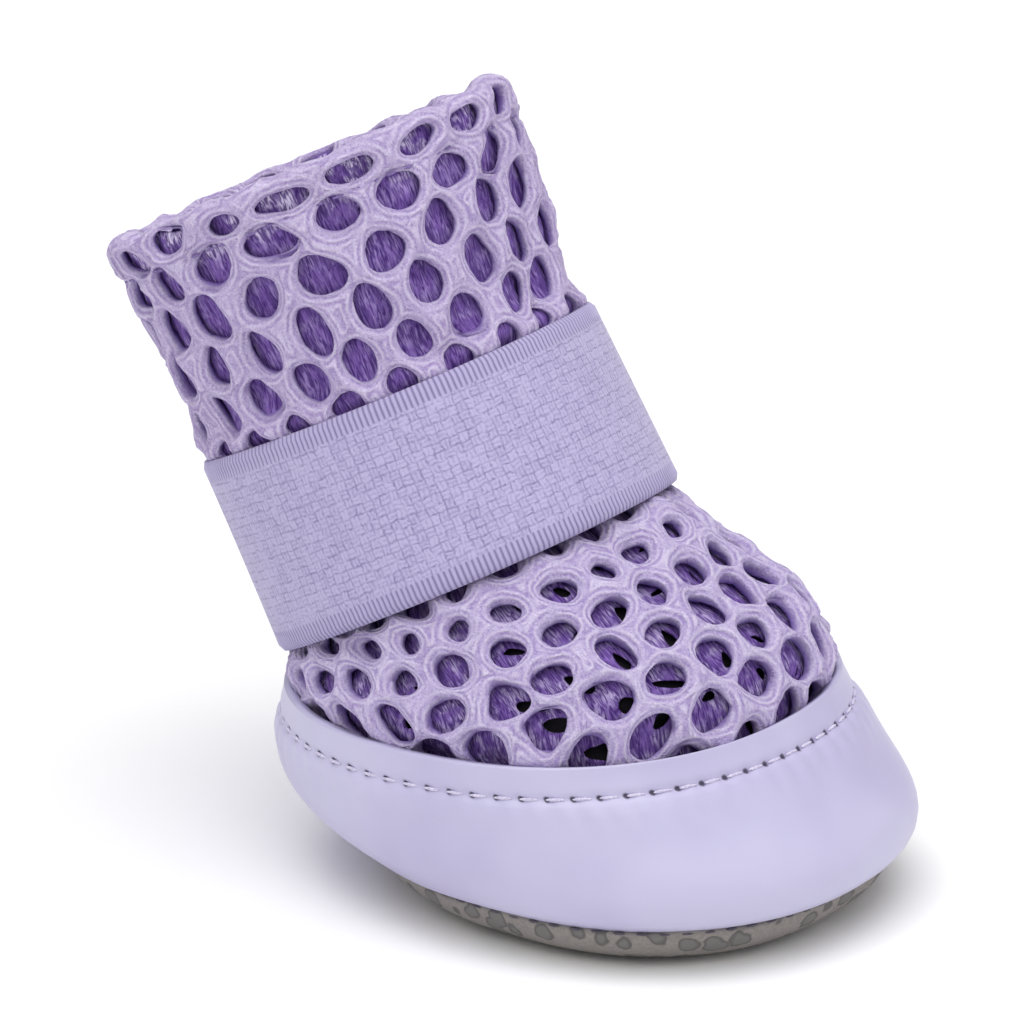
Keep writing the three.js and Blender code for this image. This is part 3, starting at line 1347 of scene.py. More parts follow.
@dataclass
class StitchRow:
    """A row of lock stitches: each one a short thread lying in the cloth.

    Sizes are in millimetres. near is how far before and after its middle a stitch reads
    its direction, as a share of the pitch.
    """

    pitch: float
    length: float
    thickness: float
    near: float = 0.3

    def sew(self, name: str, path: np.ndarray, outward: np.ndarray) -> bpy.types.Mesh:
        """Sews stitches along a closed path.

        Args:
            name: The mesh's name.
            path: Points of the path, in millimetres.
            outward: The cloth's outward direction at each point.

        Returns:
            The stitches as one mesh.
        """
        closed = np.vstack([path, path[:1]])
        lengths = lengths_along(closed)
        count = round(lengths[-1] / self.pitch)
        form = bmesh.new()
        for number in range(count):
            shares = number + np.array([-self.near, 0.0, self.near])
            spots = shares * lengths[-1] / count % lengths[-1]
            before, middle, after = (
                Vector([np.interp(s, lengths, closed[:, k]) for k in range(3)]) for s in spots
            )
            out = Vector(
                [
                    np.interp(spots[1], lengths, np.append(outward[:, k], outward[0, k]))
                    for k in range(3)
                ]
            )
            along = (after - before).normalized()
            side = along.cross(out).normalized()
            out = side.cross(along)
            columns = [
                side * self.thickness / 2,
                out * self.thickness / 2,
                along * self.length / 2,
            ]
            matrix = Matrix([[*(c[k] for c in columns), middle[k]] for k in range(3)] + [[0, 0, 0, 1]])
            bmesh.ops.create_uvsphere(form, u_segments=8, v_segments=7, radius=1.0, matrix=matrix)
        bmesh.ops.recalc_face_normals(form, faces=form.faces[:])
        mesh = finished(form, name, [])
        write_points(mesh, read_points(mesh))
        return mesh


@dataclass(frozen=True)
class Lining:
    """A plain tube of cloth inside the mesh.

    top and bottom are how far down from the strap's lower edge it starts and ends, and
    offset is how far it lies off the mesh's outer surface, all in millimetres.
    """

    name: str
    top: float
    bottom: float
    offset: float
    cloth: PlainCloth


@dataclass
class Upper:
    """The sock of large-hole mesh: vamp, shaft and folded hem, with its second layer.

    Sizes are in millimetres. web_middle, back_layer, vamp_middle and vamp_back are where
    the cloths' middles lie off the mesh's outer surface. hem_stitch is how far the hem's
    seam lies below the collar level, and groove how deep it draws in. The rim hangs
    rim_drop below the collar level, rim_rise less at its front, with a scallop for each
    hole and the top of one at scallop_angle, in degrees. rim_fade further down that has
    fallen to about a third. The vamp goes on under_rand below the rand's top edge, its
    rows rise by side_lift towards the heel, and the shaft is pressed in by under_strap.
    flare and inner_flare are how far the shaft and its back layer stand out just above
    the strap. The radii turn angles to millimetres in the back layers' maps, and the
    girths are millimetres round the boot for one degree.
    """

    last: Last
    hem_stitch: float = 5.1
    groove: float = 0.45
    fold_radius: float = 1.2
    web_middle: float = -0.5
    back_layer: float = -1.5
    vamp_middle: float = -0.7
    vamp_back: float = -1.95
    rim_rise: float = 0.3
    rim_drop: float = 1.5
    rim_fade: float = 3.0
    scallop: float = 0.25
    scallop_angle: float = -31.0
    under_rand: float = 4.2
    under_strap: float = 1.5
    side_lift: float = 4.2
    flare: float = 0.75
    inner_flare: float = 1.1
    shaft_radius: float = 19.5
    vamp_radius: float = 23.7
    shaft_girth: float = 0.34
    vamp_girth: float = 0.36
    shaft_crumple: Crumple = Crumple(0.3)
    vamp_crumple: Crumple = Crumple(0.25)
    shaft_cloth: HoleCloth = field(
        default_factory=lambda: HoleCloth(
            columns=19,
            pitch=6.7,
            rows=(
                HoleRow(-5.6, 4.4, 3.4),
                HoleRow(-1.3, 4.4, 2.8),
                HoleRow(3.0, 4.8, 3.2),
                HoleRow(7.1, 4.6, 4.0),
                HoleRow(11.8, 4.4, 4.6),
                HoleRow(16.8, 3.7, 4.9),
                HoleRow(21.5, 4.0, 4.2),
                HoleRow(25.1, 3.8, 2.9),
                HoleRow(28.7, 3.8, 2.8),
                HoleRow(32.5, 3.8, 3.0),
            ),
            first_angle=-40.5,
            thickness=1.25,
            uneven=0.16,
            seed=11,
            crown=0.6,
            fluff=0.13,
            taper=0.12,
        )
    )
    inner_cloth: HoleCloth = field(
        default_factory=lambda: HoleCloth(
            columns=19,
            pitch=6.7,
            rows=(
                HoleRow(2.6, 0.7, 0.6),
                HoleRow(7.1, 0.9, 0.8),
                HoleRow(11.8, 1.0, 0.9),
                HoleRow(16.8, 1.0, 0.9),
                HoleRow(21.5, 0.9, 0.8),
                HoleRow(25.1, 0.5, 0.4),
                HoleRow(28.7, 0.3, 0.3),
                HoleRow(32.5, 0.3, 0.3),
            ),
            first_angle=-31.0,
            thickness=0.6,
            uneven=0.12,
            seed=12,
        )
    )
    vamp_cloth: HoleCloth = field(
        default_factory=lambda: HoleCloth(
            columns=24,
            pitch=6.2,
            rows=(
                HoleRow(-9.8, 4.0, 3.2),
                HoleRow(-5.2, 4.0, 3.2),
                HoleRow(-0.6, 4.0, 3.2),
                HoleRow(4.0, 3.5, 2.6),
                HoleRow(8.6, 4.2, 3.7),
                HoleRow(13.2, 4.4, 4.2),
                HoleRow(17.8, 4.4, 4.4),
                HoleRow(22.4, 4.4, 4.4),
                HoleRow(27.0, 4.4, 4.2),
                HoleRow(31.6, 4.4, 4.2),
            ),
            first_angle=-28.0,
            thickness=1.5,
            uneven=0.19,
            seed=21,
            crown=0.6,
            fluff=0.15,
        )
    )
    vamp_inner_cloth: HoleCloth = field(
        default_factory=lambda: HoleCloth(
            columns=24,
            pitch=6.2,
            rows=(
                HoleRow(-9.8, 1.0, 1.0),
                HoleRow(-5.2, 1.0, 1.0),
                HoleRow(-0.6, 1.2, 1.0),
                HoleRow(4.0, 1.6, 1.4),
                HoleRow(9.2, 2.0, 2.2),
                HoleRow(14.0, 2.4, 3.0),
                HoleRow(18.6, 2.4, 3.0),
                HoleRow(23.2, 2.3, 2.8),
                HoleRow(27.0, 2.6, 2.4),
                HoleRow(31.6, 2.6, 2.4),
            ),
            first_angle=-24.4,
            thickness=0.5,
            uneven=0.45,
            seed=22,
            focus=-50.0,
            spread=36.0,
        )
    )
    shaft_creases: tuple[Crease, ...] = (
        Crease(-118, 24.0, 9, 2.2, -0.9, 12),
        Crease(-98, 24.5, 7, 1.8, 0.5, 6),
        Crease(-70, 25.0, 8, 2.0, -0.6, -8),
        Crease(-36, 25.0, 8, 2.2, -0.7, 10),
        Crease(-16, 24.0, 10, 2.4, 0.5, 8),
        Crease(8, 22.0, 14, 2.6, -0.9, 6),
        Crease(40, 23.0, 12, 2.5, -0.6, 0),
        Crease(120, 23.0, 12, 2.5, -0.7, 4),
        Crease(165, 24.0, 12, 3.0, -0.8, 0),
    )
    vamp_creases: tuple[Crease, ...] = (
        Crease(-96, 2.5, 8, 2.4, -0.8, 20),
        Crease(-70, 2.0, 7, 2.0, -0.7, -12),
        Crease(-44, 1.5, 7, 2.0, -0.6, 8),
        Crease(-12, 2.5, 10, 2.2, -0.8, -6),
        Crease(14, 3.5, 12, 2.6, 0.6, 4),
        Crease(55, 3.0, 10, 2.6, -0.8, 0),
        Crease(100, 3.0, 8, 2.6, -0.6, 0),
    )

    def __post_init__(self) -> None:
        """Measures the last down from the collar and down from the strap."""
        self.from_collar = Meridians(self.last, Level.COLLAR)
        self.from_strap = Meridians(self.last, Level.STRAP_BOTTOM)

    def gathered(self, angle: np.ndarray, down: np.ndarray) -> np.ndarray:
        """Turns the shaft's angles, so that its columns draw together towards the strap."""
        draw = np.interp(down, [3, 22, 30], [0.06, -0.06, -0.12])
        return angle + draw * np.sin(angle - math.radians(-41.0))

    def shaft_folds(self, angle: np.ndarray, reach: np.ndarray) -> np.ndarray:
        """How far the shaft's creases and waves lie outwards; the strap presses them flat.

        Args:
            angle: Angles in radians.
            reach: Distances down from the collar, in millimetres.

        Returns:
            Distances in millimetres.
        """
        strap = self.from_collar.distance(angle, Level.STRAP_TOP)
        folds = relief(self.shaft_creases, angle, reach, self.shaft_girth)
        return (folds + self.shaft_crumple.at(angle, reach)) * smooth_step(strap - reach, -0.5, 2.5)

    def vamp_folds(self, angle: np.ndarray, down: np.ndarray) -> np.ndarray:
        """How far the vamp's creases and waves lie outwards, in millimetres."""
        folds = relief(self.vamp_creases, angle, down, self.vamp_girth)
        return folds + self.vamp_crumple.at(angle, down)

    def side_rise(self, angle: np.ndarray, down: np.ndarray) -> np.ndarray:
        """How far the vamp's rows are drawn up towards the heel, in millimetres."""
        turned = np.abs(turn_between(angle, 0))
        return self.side_lift * smooth_step(turned, 70, 130) * smooth_step(down, -2, 4)

    def rim_fall(self, angle: np.ndarray, reach: np.ndarray) -> np.ndarray:
        """How far the cloth hangs below the collar level, most at the rim's scalloped fold.

        Args:
            angle: Angles in radians.
            reach: Distances down from the rim, in millimetres.

        Returns:
            Distances in millimetres.
        """
        columns = self.shaft_cloth.columns
        scallops = self.scallop * np.cos(columns * (angle - math.radians(self.scallop_angle)))
        rise = self.rim_rise * hump(turn_between(angle, 24), 0, 10)
        corner = 0.1 * hump(turn_between(angle, -150), 0, 26)
        fall = self.rim_drop - scallops - rise + corner
        return fall * np.exp(-np.maximum(reach, 0) / self.rim_fade)

    def drape_shaft(
        self, angle: np.ndarray, down: np.ndarray, out: np.ndarray, middle: float
    ) -> np.ndarray:
        """Draws the shaft's cloth over the last, with the hem folded in at the rim.

        Args:
            angle: Angles in radians.
            down: Distances down the cloth from the rim's fold; below 0 it is inside.
            out: Distances outwards from the cloth's middle.
            middle: Where the cloth's middle lies off the mesh's outer surface.

        Returns:
            Points in millimetres.
        """
        radius = self.fold_radius
        quarter = radius * math.pi / 2
        turn = np.clip(down, -quarter, quarter) / radius
        past = np.maximum(np.abs(down) - quarter, 0)
        reach = radius - (radius + out) * np.cos(turn) + past
        offset = middle - radius + (radius + out) * np.sin(turn)
        reach = reach + self.rim_fall(angle, reach)
        strap = self.from_collar.distance(angle, Level.STRAP_TOP)
        outside = smooth_step(offset, -2.6, -1.6)
        offset = offset + self.flare * hump(reach - strap, -0.7, 1.3) * outside
        offset = offset + self.shaft_folds(angle, reach)
        offset = offset - self.groove * hump(reach, self.hem_stitch, 0.6) * outside
        offset = offset - self.under_strap * smooth_step(reach - strap, 0.0, 1.3)
        level = self.from_collar.level(angle, reach)
        return self.last.place(level, angle, offset)

    def drape_vamp(
        self, angle: np.ndarray, down: np.ndarray, out: np.ndarray, middle: float
    ) -> np.ndarray:
        """Draws the vamp's cloth over the last.

        Args:
            angle: Angles in radians.
            down: Distances down the cloth from the strap.
            out: Distances outwards from the cloth's middle.
            middle: Where the cloth's middle lies off the mesh's outer surface.

        Returns:
            Points in millimetres.
        """
        down = down - self.side_rise(angle, down)
        rand = self.from_strap.distance(angle, Level.RAND_TOP)
        offset = middle + out + self.vamp_folds(angle, down)
        puff = 0.35 + 0.8 * hump(turn_between(angle, 38), 0, 40)
        offset = offset + puff * hump(down - rand, -2.4, 3.0)
        offset = offset - 1.1 * smooth_step(rand - down, 0.1, -0.9)
        offset = offset - 1.4 * smooth_step(-down, -0.3, 1.0)
        level = self.from_strap.level(angle, down)
        return self.last.place(level, angle, offset)

    def build_shaft(self) -> None:
        """Knits the shaft with its folded hem, and the layer behind it, coloured darker as painted shade."""
        mesh, angle, down, out = self.shaft_cloth.knit("mesh_shaft")
        angle = self.gathered(angle, down)
        write_points(mesh, self.drape_shaft(angle, down, out, self.web_middle))
        show(mesh, [KnittedMesh().material()], "upper")
        mesh, angle, down, out = self.inner_cloth.knit("mesh_back_layer")
        angle = self.gathered(angle, down)
        # The hem attribute sets how strongly the back layer's painted highlight flecks show: fully in the
        # hem.
        write_attribute(mesh, "hem", smooth_step(self.hem_stitch + 0.4 - down, -0.6, 0.6))
        girth = FULL_TURN * self.shaft_radius
        write_cloth_map(mesh, angle * self.shaft_radius % girth, down, girth)
        reach = down + 0.2 + self.rim_fall(angle, down)
        strap = self.from_collar.distance(angle, Level.STRAP_TOP)
        offset = self.back_layer + out + self.shaft_folds(angle, reach)
        offset = offset + self.inner_flare * hump(reach - strap, -0.9, 1.8)
        offset = offset - 1.2 * smooth_step(reach - strap, 0.3, 1.8)
        level = self.from_collar.level(angle, reach)
        write_points(mesh, self.last.place(level, angle, offset))
        show(mesh, [PileLayer().material()])

    def build_vamp(self) -> None:
        """Knits the vamp, cut off a little way under the rand."""
        cut = self.from_strap.distance(np.radians(np.arange(-180, 541)), Level.RAND_TOP)

        def above_cut(angle: float, down: float) -> bool:
            """Whether a place at an angle and a distance down lies above the cut edge."""
            degrees = int(round(math.degrees(angle))) % 360
            turned = abs((degrees + 180) % 360 - 180)
            lifted = self.side_lift * float(smooth_step(np.array(turned * 1.0), 70, 130))
            return down - lifted < cut[degrees + 180] + self.under_rand

        mesh, angle, down, out = self.vamp_cloth.knit("mesh_vamp", above_cut)
        write_points(mesh, self.drape_vamp(angle, down, out, self.vamp_middle))
        # The vamp's knit has the same painted highlight on its ridges and painted shade in their grooves, at
        # the holes' edges and in their walls.
        knit = KnittedMesh(
            name="knitted_vamp_mesh", crown="EADFFC", groove_shade="B29DD8", wall="8F74C4"
        )
        show(mesh, [knit.material()])
        mesh, angle, down, out = self.vamp_inner_cloth.knit("vamp_back_layer", above_cut)
        # The vamp's back layer shows the painted highlight flecks at part strength.
        write_attribute(mesh, "hem", 0.4 * np.ones(len(down)))
        girth = FULL_TURN * self.vamp_radius
        write_cloth_map(mesh, angle * self.vamp_radius % girth, down, girth)
        write_points(mesh, self.drape_vamp(angle, down, out, self.vamp_back))
        show(mesh, [PileLayer(name="brushed_vamp_layer").material()])

    def build_lining(self) -> None:
        """Lines the foot below the mesh and tapes the join under the strap."""
        dark = PlainCloth("black_knitted_lining", "241F2B", "15121A", 0.5)
        tape = PlainCloth("lilac_seam_tape", "B9AADA", "9686C0", 0.4)
        wall = {"thickness": 0.1, "offset": -1.0}
        for tube in (
            Lining("foot_lining", top=-1.5, bottom=46.0, offset=-2.9, cloth=dark),
            Lining("join_tape", top=-13.0, bottom=-7.0, offset=-3.2, cloth=tape),
        ):
            mesh = finished(tube_form(144, 40), tube.name, [("SOLIDIFY", wall)])
            points = read_points(mesh)
            angle = np.arctan2(points[:, 1], points[:, 0])
            seam = self.from_strap.distance(angle, Level.SEAM)
            lowest = np.minimum(tube.bottom, seam - 0.3)
            down = lowest + (tube.top - lowest) * (points[:, 2] + 0.5)
            inner = (1 - np.hypot(points[:, 0], points[:, 1])) / wall["thickness"]
            folds = np.minimum(self.vamp_folds(angle, down), 0)
            level = self.from_strap.level(angle, down)
            write_points(mesh, self.last.place(level, angle, tube.offset + folds - 0.3 * inner))
            show(mesh, [tube.cloth.material()])

    def build_stitches(self) -> None:
        """Sews the hem down with a thin thread that shows as short dashes."""
        angle = np.radians(np.arange(0, 360, 1.0))
        level = self.from_collar.level(angle, np.full_like(angle, self.hem_stitch))
        offset = self.shaft_crumple.at(angle, np.full_like(angle, self.hem_stitch)) - 0.35
        path = self.last.place(level, angle, offset)
        row = StitchRow(pitch=1.9, length=1.2, thickness=0.3)
        mesh = row.sew("hem_stitches", path, self.last.outward(level, angle))
        thread = PlainCloth("lilac_thread", "8A76AE", "6C5892", 0.2, 0.7, 0.05)
        show(mesh, [thread.material()])

    def build(self) -> None:
        """Builds the whole upper."""
        self.build_shaft()
        self.build_vamp()
        self.build_lining()
        self.build_stitches()


@dataclass
class Rand:
    """The band of coated cloth round the foot, stitched down along its top edge.

    Sizes are in millimetres. inner is how far its back stands off the mesh. Along the
    stitch line the face is pulled in by pull, and by pucker more between the stitches;
    below it the face puffs out by pillow and waves by ripple. Its top edge swells by
    edge_bead and its bottom edge is tucked in by tuck. girth is in millimetres round the
    boot for one degree. Its upper rows are fine_step apart, for the stitch line.
    """

    last: Last
    inner: float = 0.3
    thickness: float = 1.0
    stitch_line: float = 3.3
    stitch_pitch: float = 2.6
    pull: float = 0.22
    pucker: float = 0.2
    pillow: float = 0.3
    ripple: float = 0.07
    edge_bead: float = 0.05
    tuck: float = 0.5
    girth: float = 0.45
    segments: int = 480
    fine_rows: int = 20
    fine_step: float = 0.28
    coarse_rows: int = 24
    creases: tuple[Crease, ...] = (
        Crease(-120, 6.5, 9, 1.8, -0.25, 60),
        Crease(-95, 8.0, 14, 2.2, -0.22, 75),
        Crease(-62, 6.0, 7, 1.6, -0.16, 40),
        Crease(-30, 7.0, 9, 1.8, -0.12, -50),
        Crease(0, 6.0, 6, 1.5, -0.14, 30),
        Crease(22, 8.5, 10, 2.0, -0.16, 70),
        Crease(60, 8.0, 10, 2.0, -0.2, 60),
        Crease(110, 7.0, 12, 2.0, -0.2, 70),
        Crease(170, 8.0, 12, 2.2, -0.25, 80),
        Crease(-75, 12.0, 16, 3.0, -0.2, 82),
    )

    def puffed(
        self,
        angle: np.ndarray,
        down: np.ndarray,
        past_seam: np.ndarray,
        stitch: np.ndarray,
        outer: np.ndarray,
    ) -> np.ndarray:
        """How far the band's back and face lie off the mesh.

        Args:
            angle: Angles in radians.
            down: Distances down from the band's top edge, in millimetres.
            past_seam: Distances down from the sole's seam, in millimetres, below 0 above it.
            stitch: Places round the boot, counted in stitches.
            outer: 1 on the face and 0 on the back.

        Returns:
            Distances in millimetres.
        """
        wave = np.cos(FULL_TURN * stitch)
        drawn = self.pull + self.pucker * (0.5 - 0.5 * wave)
        pulled = hump(down, self.stitch_line, 0.45) * drawn
        pillow = self.pillow * smooth_step(down, self.stitch_line - 0.6, self.stitch_line + 2.2)
        ripple = self.ripple * hump(down, self.stitch_line + 1.6, 1.4) * wave
        bead = self.edge_bead * hump(down, 0, 0.9)
        creases = relief(self.creases, angle, down, self.girth)
        tucked = self.tuck * smooth_step(past_seam, -2.6, 0.0) ** 2
        face = self.thickness + pillow - pulled + ripple + bead + creases - tucked
        return self.inner + outer * face

    def build(self) -> None:
        """Builds the band and its stitches."""
        down_from_top = Meridians(self.last, Level.RAND_TOP)
        rows = self.fine_rows + self.coarse_rows
        wall = {
            "thickness": 0.1,
            "offset": -1.0,
            "material_offset": Layer.BACKING,
            "material_offset_rim": Layer.CUT_EDGE,
        }
        mesh = finished(tube_form(self.segments, rows), "rand_band", [("SOLIDIFY", wall)])
        points = read_points(mesh)
        angle = np.arctan2(points[:, 1], points[:, 0])
        inside = (1 - np.hypot(points[:, 0], points[:, 1])) / wall["thickness"]
        number = (0.5 - points[:, 2]) * rows
        whole = down_from_top.distance(angle, Level.SEAM)
        fine = self.fine_rows * self.fine_step
        down = np.where(
            number <= self.fine_rows,
            number * self.fine_step,
            fine + (whole - fine) * (number - self.fine_rows) / self.coarse_rows,
        )
        turns = np.radians(np.arange(0, 360, 0.5))
        line_level = down_from_top.level(turns, np.full_like(turns, self.stitch_line))
        line = self.last.place(line_level, turns, np.full_like(turns, self.inner + self.thickness))
        lengths = lengths_along(np.vstack([line, line[:1]]))
        count = round(lengths[-1] / self.stitch_pitch)
        along = np.interp(angle % FULL_TURN, np.append(turns, FULL_TURN), lengths / lengths[-1])
        stitch = along * count
        offset = self.puffed(angle, down, down - whole, stitch, 1 - inside)
        write_points(mesh, self.last.place(down_from_top.level(angle, down), angle, offset))
        layers = np.empty(len(mesh.polygons), int)
        mesh.polygons.foreach_get("material_index", layers)
        mesh.polygons.foreach_set("use_smooth", layers != Layer.CUT_EDGE)
        write_cloth_map(mesh, stitch, down, count)
        face = CoatedCloth(stitch_line=self.stitch_line, stitch_pitch=lengths[-1] / count)
        backing = PlainCloth("black_rand_backing", "1E1A24", "121016", 0.4)
        # The cut edge's paler colour is partly the cut cloth's own tone and partly painted highlight where
        # the top edge faces up to the light.
        cut_edge_and_highlight = PlainCloth("pale_cut_edge_with_painted_highlight", "DAD3EE", "B9AFD6", 0.3, 0.8)
        layered = [finish.material() for finish in (face, backing, cut_edge_and_highlight)]
        show(mesh, layered, "rand")
        outward = self.last.outward(line_level, turns)
        path = line + outward * -0.18
        row = StitchRow(pitch=self.stitch_pitch, length=1.9, thickness=0.36)
        thread = PlainCloth("greyish_lilac_thread", "DCD7EA", "B5ADCB", 0.2, 0.65, 0.05)
        show(row.sew("rand_stitches", path, outward), [thread.material()])


@dataclass
class Sole:
    """The soft dished sole and the thin insole in its recess.

    Heights are in millimetres off the floor, and the outlines, flat, rim and recess are
    shares of the seam's outline. The flat underside lies forward of the seam, towards the
    toe, by millimetres, and the edge between them bulges less with more edge_slope.
    """

    last: Last
    seam_height: float = 4.7
    outline: float = 1.055
    flat: float = 0.8
    rim: float = 0.83
    recess: float = 0.8
    recess_height: float = 2.3
    forward: float = 1.2
    insole_bottom: float = 2.6
    insole_top: float = 4.1
    insole_outline: float = 0.78
    edge_slope: float = 1.5

    def ring(self, angle: np.ndarray, share: np.ndarray, height: np.ndarray, step: np.ndarray) -> np.ndarray:
        """Points of level rings of the seam's outline.

        Args:
            angle: Angles in radians.
            share: Share of the outline's size.
            height: Heights in millimetres.
            step: Steps towards the toe, in millimetres.

        Returns:
            Points in millimetres.
        """
        seam = self.last.surface(np.zeros_like(angle), angle)
        return np.stack([seam[:, 0] * share + step, seam[:, 1] * share, height], -1)

    def ball(self, name: str, segments: int, rows: int) -> tuple[bpy.types.Mesh, np.ndarray, np.ndarray]:
        """Makes a closed ball to be shaped.

        Args:
            name: The mesh's name.
            segments: Faces round it.
            rows: Faces from its lowest to its highest point.

        Returns:
            The mesh, each vertex's angle, and its share of the way from the bottom up
            the outside to the top.
        """
        form = bmesh.new()
        bmesh.ops.create_uvsphere(form, u_segments=segments, v_segments=rows, radius=1.0)
        mesh = finished(form, name, [])
        points = read_points(mesh)
        angle = np.arctan2(points[:, 1], points[:, 0])
        rise = np.arccos(np.clip(-points[:, 2], -1, 1)) / math.pi
        return mesh, angle, rise

    def build_cup(self) -> None:
        """Builds the sole, with a flat underside and a round edge up to the seam."""
        mesh, angle, rise = self.ball("sole_cup", 192, 64)
        turn = np.clip((rise - 0.35) / 0.3, 0, 1) * math.pi / 2
        shares = np.interp(
            rise,
            [0, 0.35, 0.65, 0.72, 0.76, 0.8, 1.0],
            [0, self.flat, self.outline, self.rim + 0.06, self.rim, self.recess, 0],
        )
        edge = self.flat + (self.outline - self.flat) * np.sin(turn) ** self.edge_slope
        shares = np.where((rise > 0.35) & (rise < 0.65), edge, shares)
        heights = np.interp(
            rise,
            [0.65, 0.72, 0.76, 0.8, 1.0],
            [self.seam_height, self.seam_height, self.seam_height, *[self.recess_height] * 2],
        )
        heights = np.where(rise < 0.65, self.seam_height * (1 - np.cos(turn)), heights)
        soft = 0.12 * np.cos(9 * angle + 1.0) + 0.09 * np.cos(16 * angle)
        heights = heights + soft * np.sin(turn) * (1 - np.cos(turn)) * (rise < 0.7)
        step = self.forward * (1 - np.sin(turn)) * (rise < 0.76)
        write_points(mesh, self.ring(angle, shares, np.maximum(heights, 0), step))
        show(mesh, [SpottedSoleCloth().material()], "sole")

    def build_stitches(self) -> None:
        """Sews the sole's edge to the rand with a dark thread."""
        turns = np.radians(np.arange(0, 360, 1.0))
        height = np.full(360, self.seam_height - 0.25)
        path = self.ring(turns, np.full(360, self.outline - 0.004), height, np.zeros(360))
        outward = np.stack([np.cos(turns), np.sin(turns), np.zeros(360)], -1)
        thread = PlainCloth("dark_seam_thread", "59535F", "413C47", 0.2, 0.7, 0.05)
        row = StitchRow(pitch=2.2, length=1.2, thickness=0.32)
        show(row.sew("sole_stitches", path, outward), [thread.material()])

    def build_insole(self) -> None:
        """Builds the insole, a thin soft pad."""
        mesh, angle, rise = self.ball("insole_pad", 96, 24)
        shares = self.insole_outline * np.sin(rise * math.pi) ** 0.35
        middle = (self.insole_bottom + self.insole_top) / 2
        half = (self.insole_top - self.insole_bottom) / 2
        fall = np.cos(rise * math.pi)
        lift = -np.sign(fall) * np.abs(fall) ** 0.5
        write_points(mesh, self.ring(angle, shares, middle + half * lift, np.zeros_like(angle)))
        cloth = PlainCloth("near_black_insole_cloth", "332D3B", "201C26", 0.5).material()
        pad = show(mesh, [cloth], "insole")

    def build(self) -> None:
        """Builds the sole, its seam's stitches and the insole."""
        self.build_cup()
        self.build_stitches()
        self.build_insole()


@dataclass
class Strap:
    """The hook-and-loop tape, wound once round the ankle and lapped on the hidden side.

    It runs from start to end, in degrees round the boot. Shortly before it comes round to
    its own start it steps out over it, within step_length degrees that end step_end
    degrees past the start. Other sizes are in millimetres: clearance is the air under it,
    and wave the height of its slow unevenness, which turns by a radian in wave_length.
    """

    last: Last
    start: float = 75.0
    end: float = 517.5
    step_end: float = 352.5
    step_length: float = 22.5
    clearance: float = 0.3
    thickness: float = 1.2
    width: float = 20.0
    rib: float = 0.57
    selvedge: float = 2.1
    rib_height: float = 0.13
    rib_depth: float = 0.12
    wave: float = 0.1
    wave_length: float = 9.0
    steps: int = 1100
    rows: int = 28

    def lift(self, degrees: np.ndarray) -> np.ndarray:
        """How far the tape's inner face stands off the mesh: it steps over its own start.

        Args:
            degrees: Angles along the winding, in degrees.

        Returns:
            Distances in millimetres.
        """
        step_end = self.start + self.step_end
        rise = smooth_step(degrees, step_end - self.step_length, step_end)
        return self.clearance + (self.clearance + self.thickness) * rise

    def half_thickness(self, along: np.ndarray, across: np.ndarray) -> np.ndarray:
        """Half the tape's thickness, with rounded edges and ribbed selvedges.

        Args:
            along: Distances along the tape, in millimetres.
            across: Distances across it from its upper edge, in millimetres.

        Returns:
            Half thicknesses in millimetres.
        """
        from_edge = np.minimum(across, self.width - across)
        ribbed = 1 - smooth_step(from_edge, self.selvedge - 0.25, self.selvedge + 0.15)
        rib = np.cos(FULL_TURN * along / self.rib)
        rounded = 1 - 0.55 * (1 - np.clip(from_edge / 0.5, 0, 1)) ** 2
        half = self.thickness / 2 * rounded
        return half - self.rib_depth * ribbed + ribbed * self.rib_height * (0.5 + 0.5 * rib)

    def build(self) -> None:
        """Builds the tape."""
        form = bmesh.new()
        bmesh.ops.create_grid(form, x_segments=self.steps, y_segments=self.rows, size=0.5)
        wall = {"thickness": 0.1, "offset": 0.0}
        mesh = finished(form, "strap_tape", [("SOLIDIFY", wall)])
        points = read_points(mesh)
        side = points[:, 2] / (wall["thickness"] / 2)
        degrees = self.start + (points[:, 0] + 0.5) * (self.end - self.start)
        across = (0.5 - points[:, 1]) * self.width
        turns = np.linspace(self.start, self.end, 900)
        level = np.full_like(turns, (Level.STRAP_TOP + Level.STRAP_BOTTOM) / 2)
        middle = self.last.place(level, np.radians(turns), self.lift(turns) + self.thickness / 2)
        along = np.interp(degrees, turns, lengths_along(middle))
        half = self.half_thickness(along, across)
        wave = self.wave * np.sin(along / self.wave_length) * np.sin(across / self.width * math.pi)
        offset = self.lift(degrees) + self.thickness / 2 + side * half + wave
        level = Level.STRAP_TOP - across / self.width
        write_points(mesh, self.last.place(level, np.radians(degrees), offset))
        write_cloth_map(mesh, along, across, 0)
        tape = HookTape(width=self.width, selvedge_width=self.selvedge, rib=self.rib)
        show(mesh, [tape.material()], "strap")


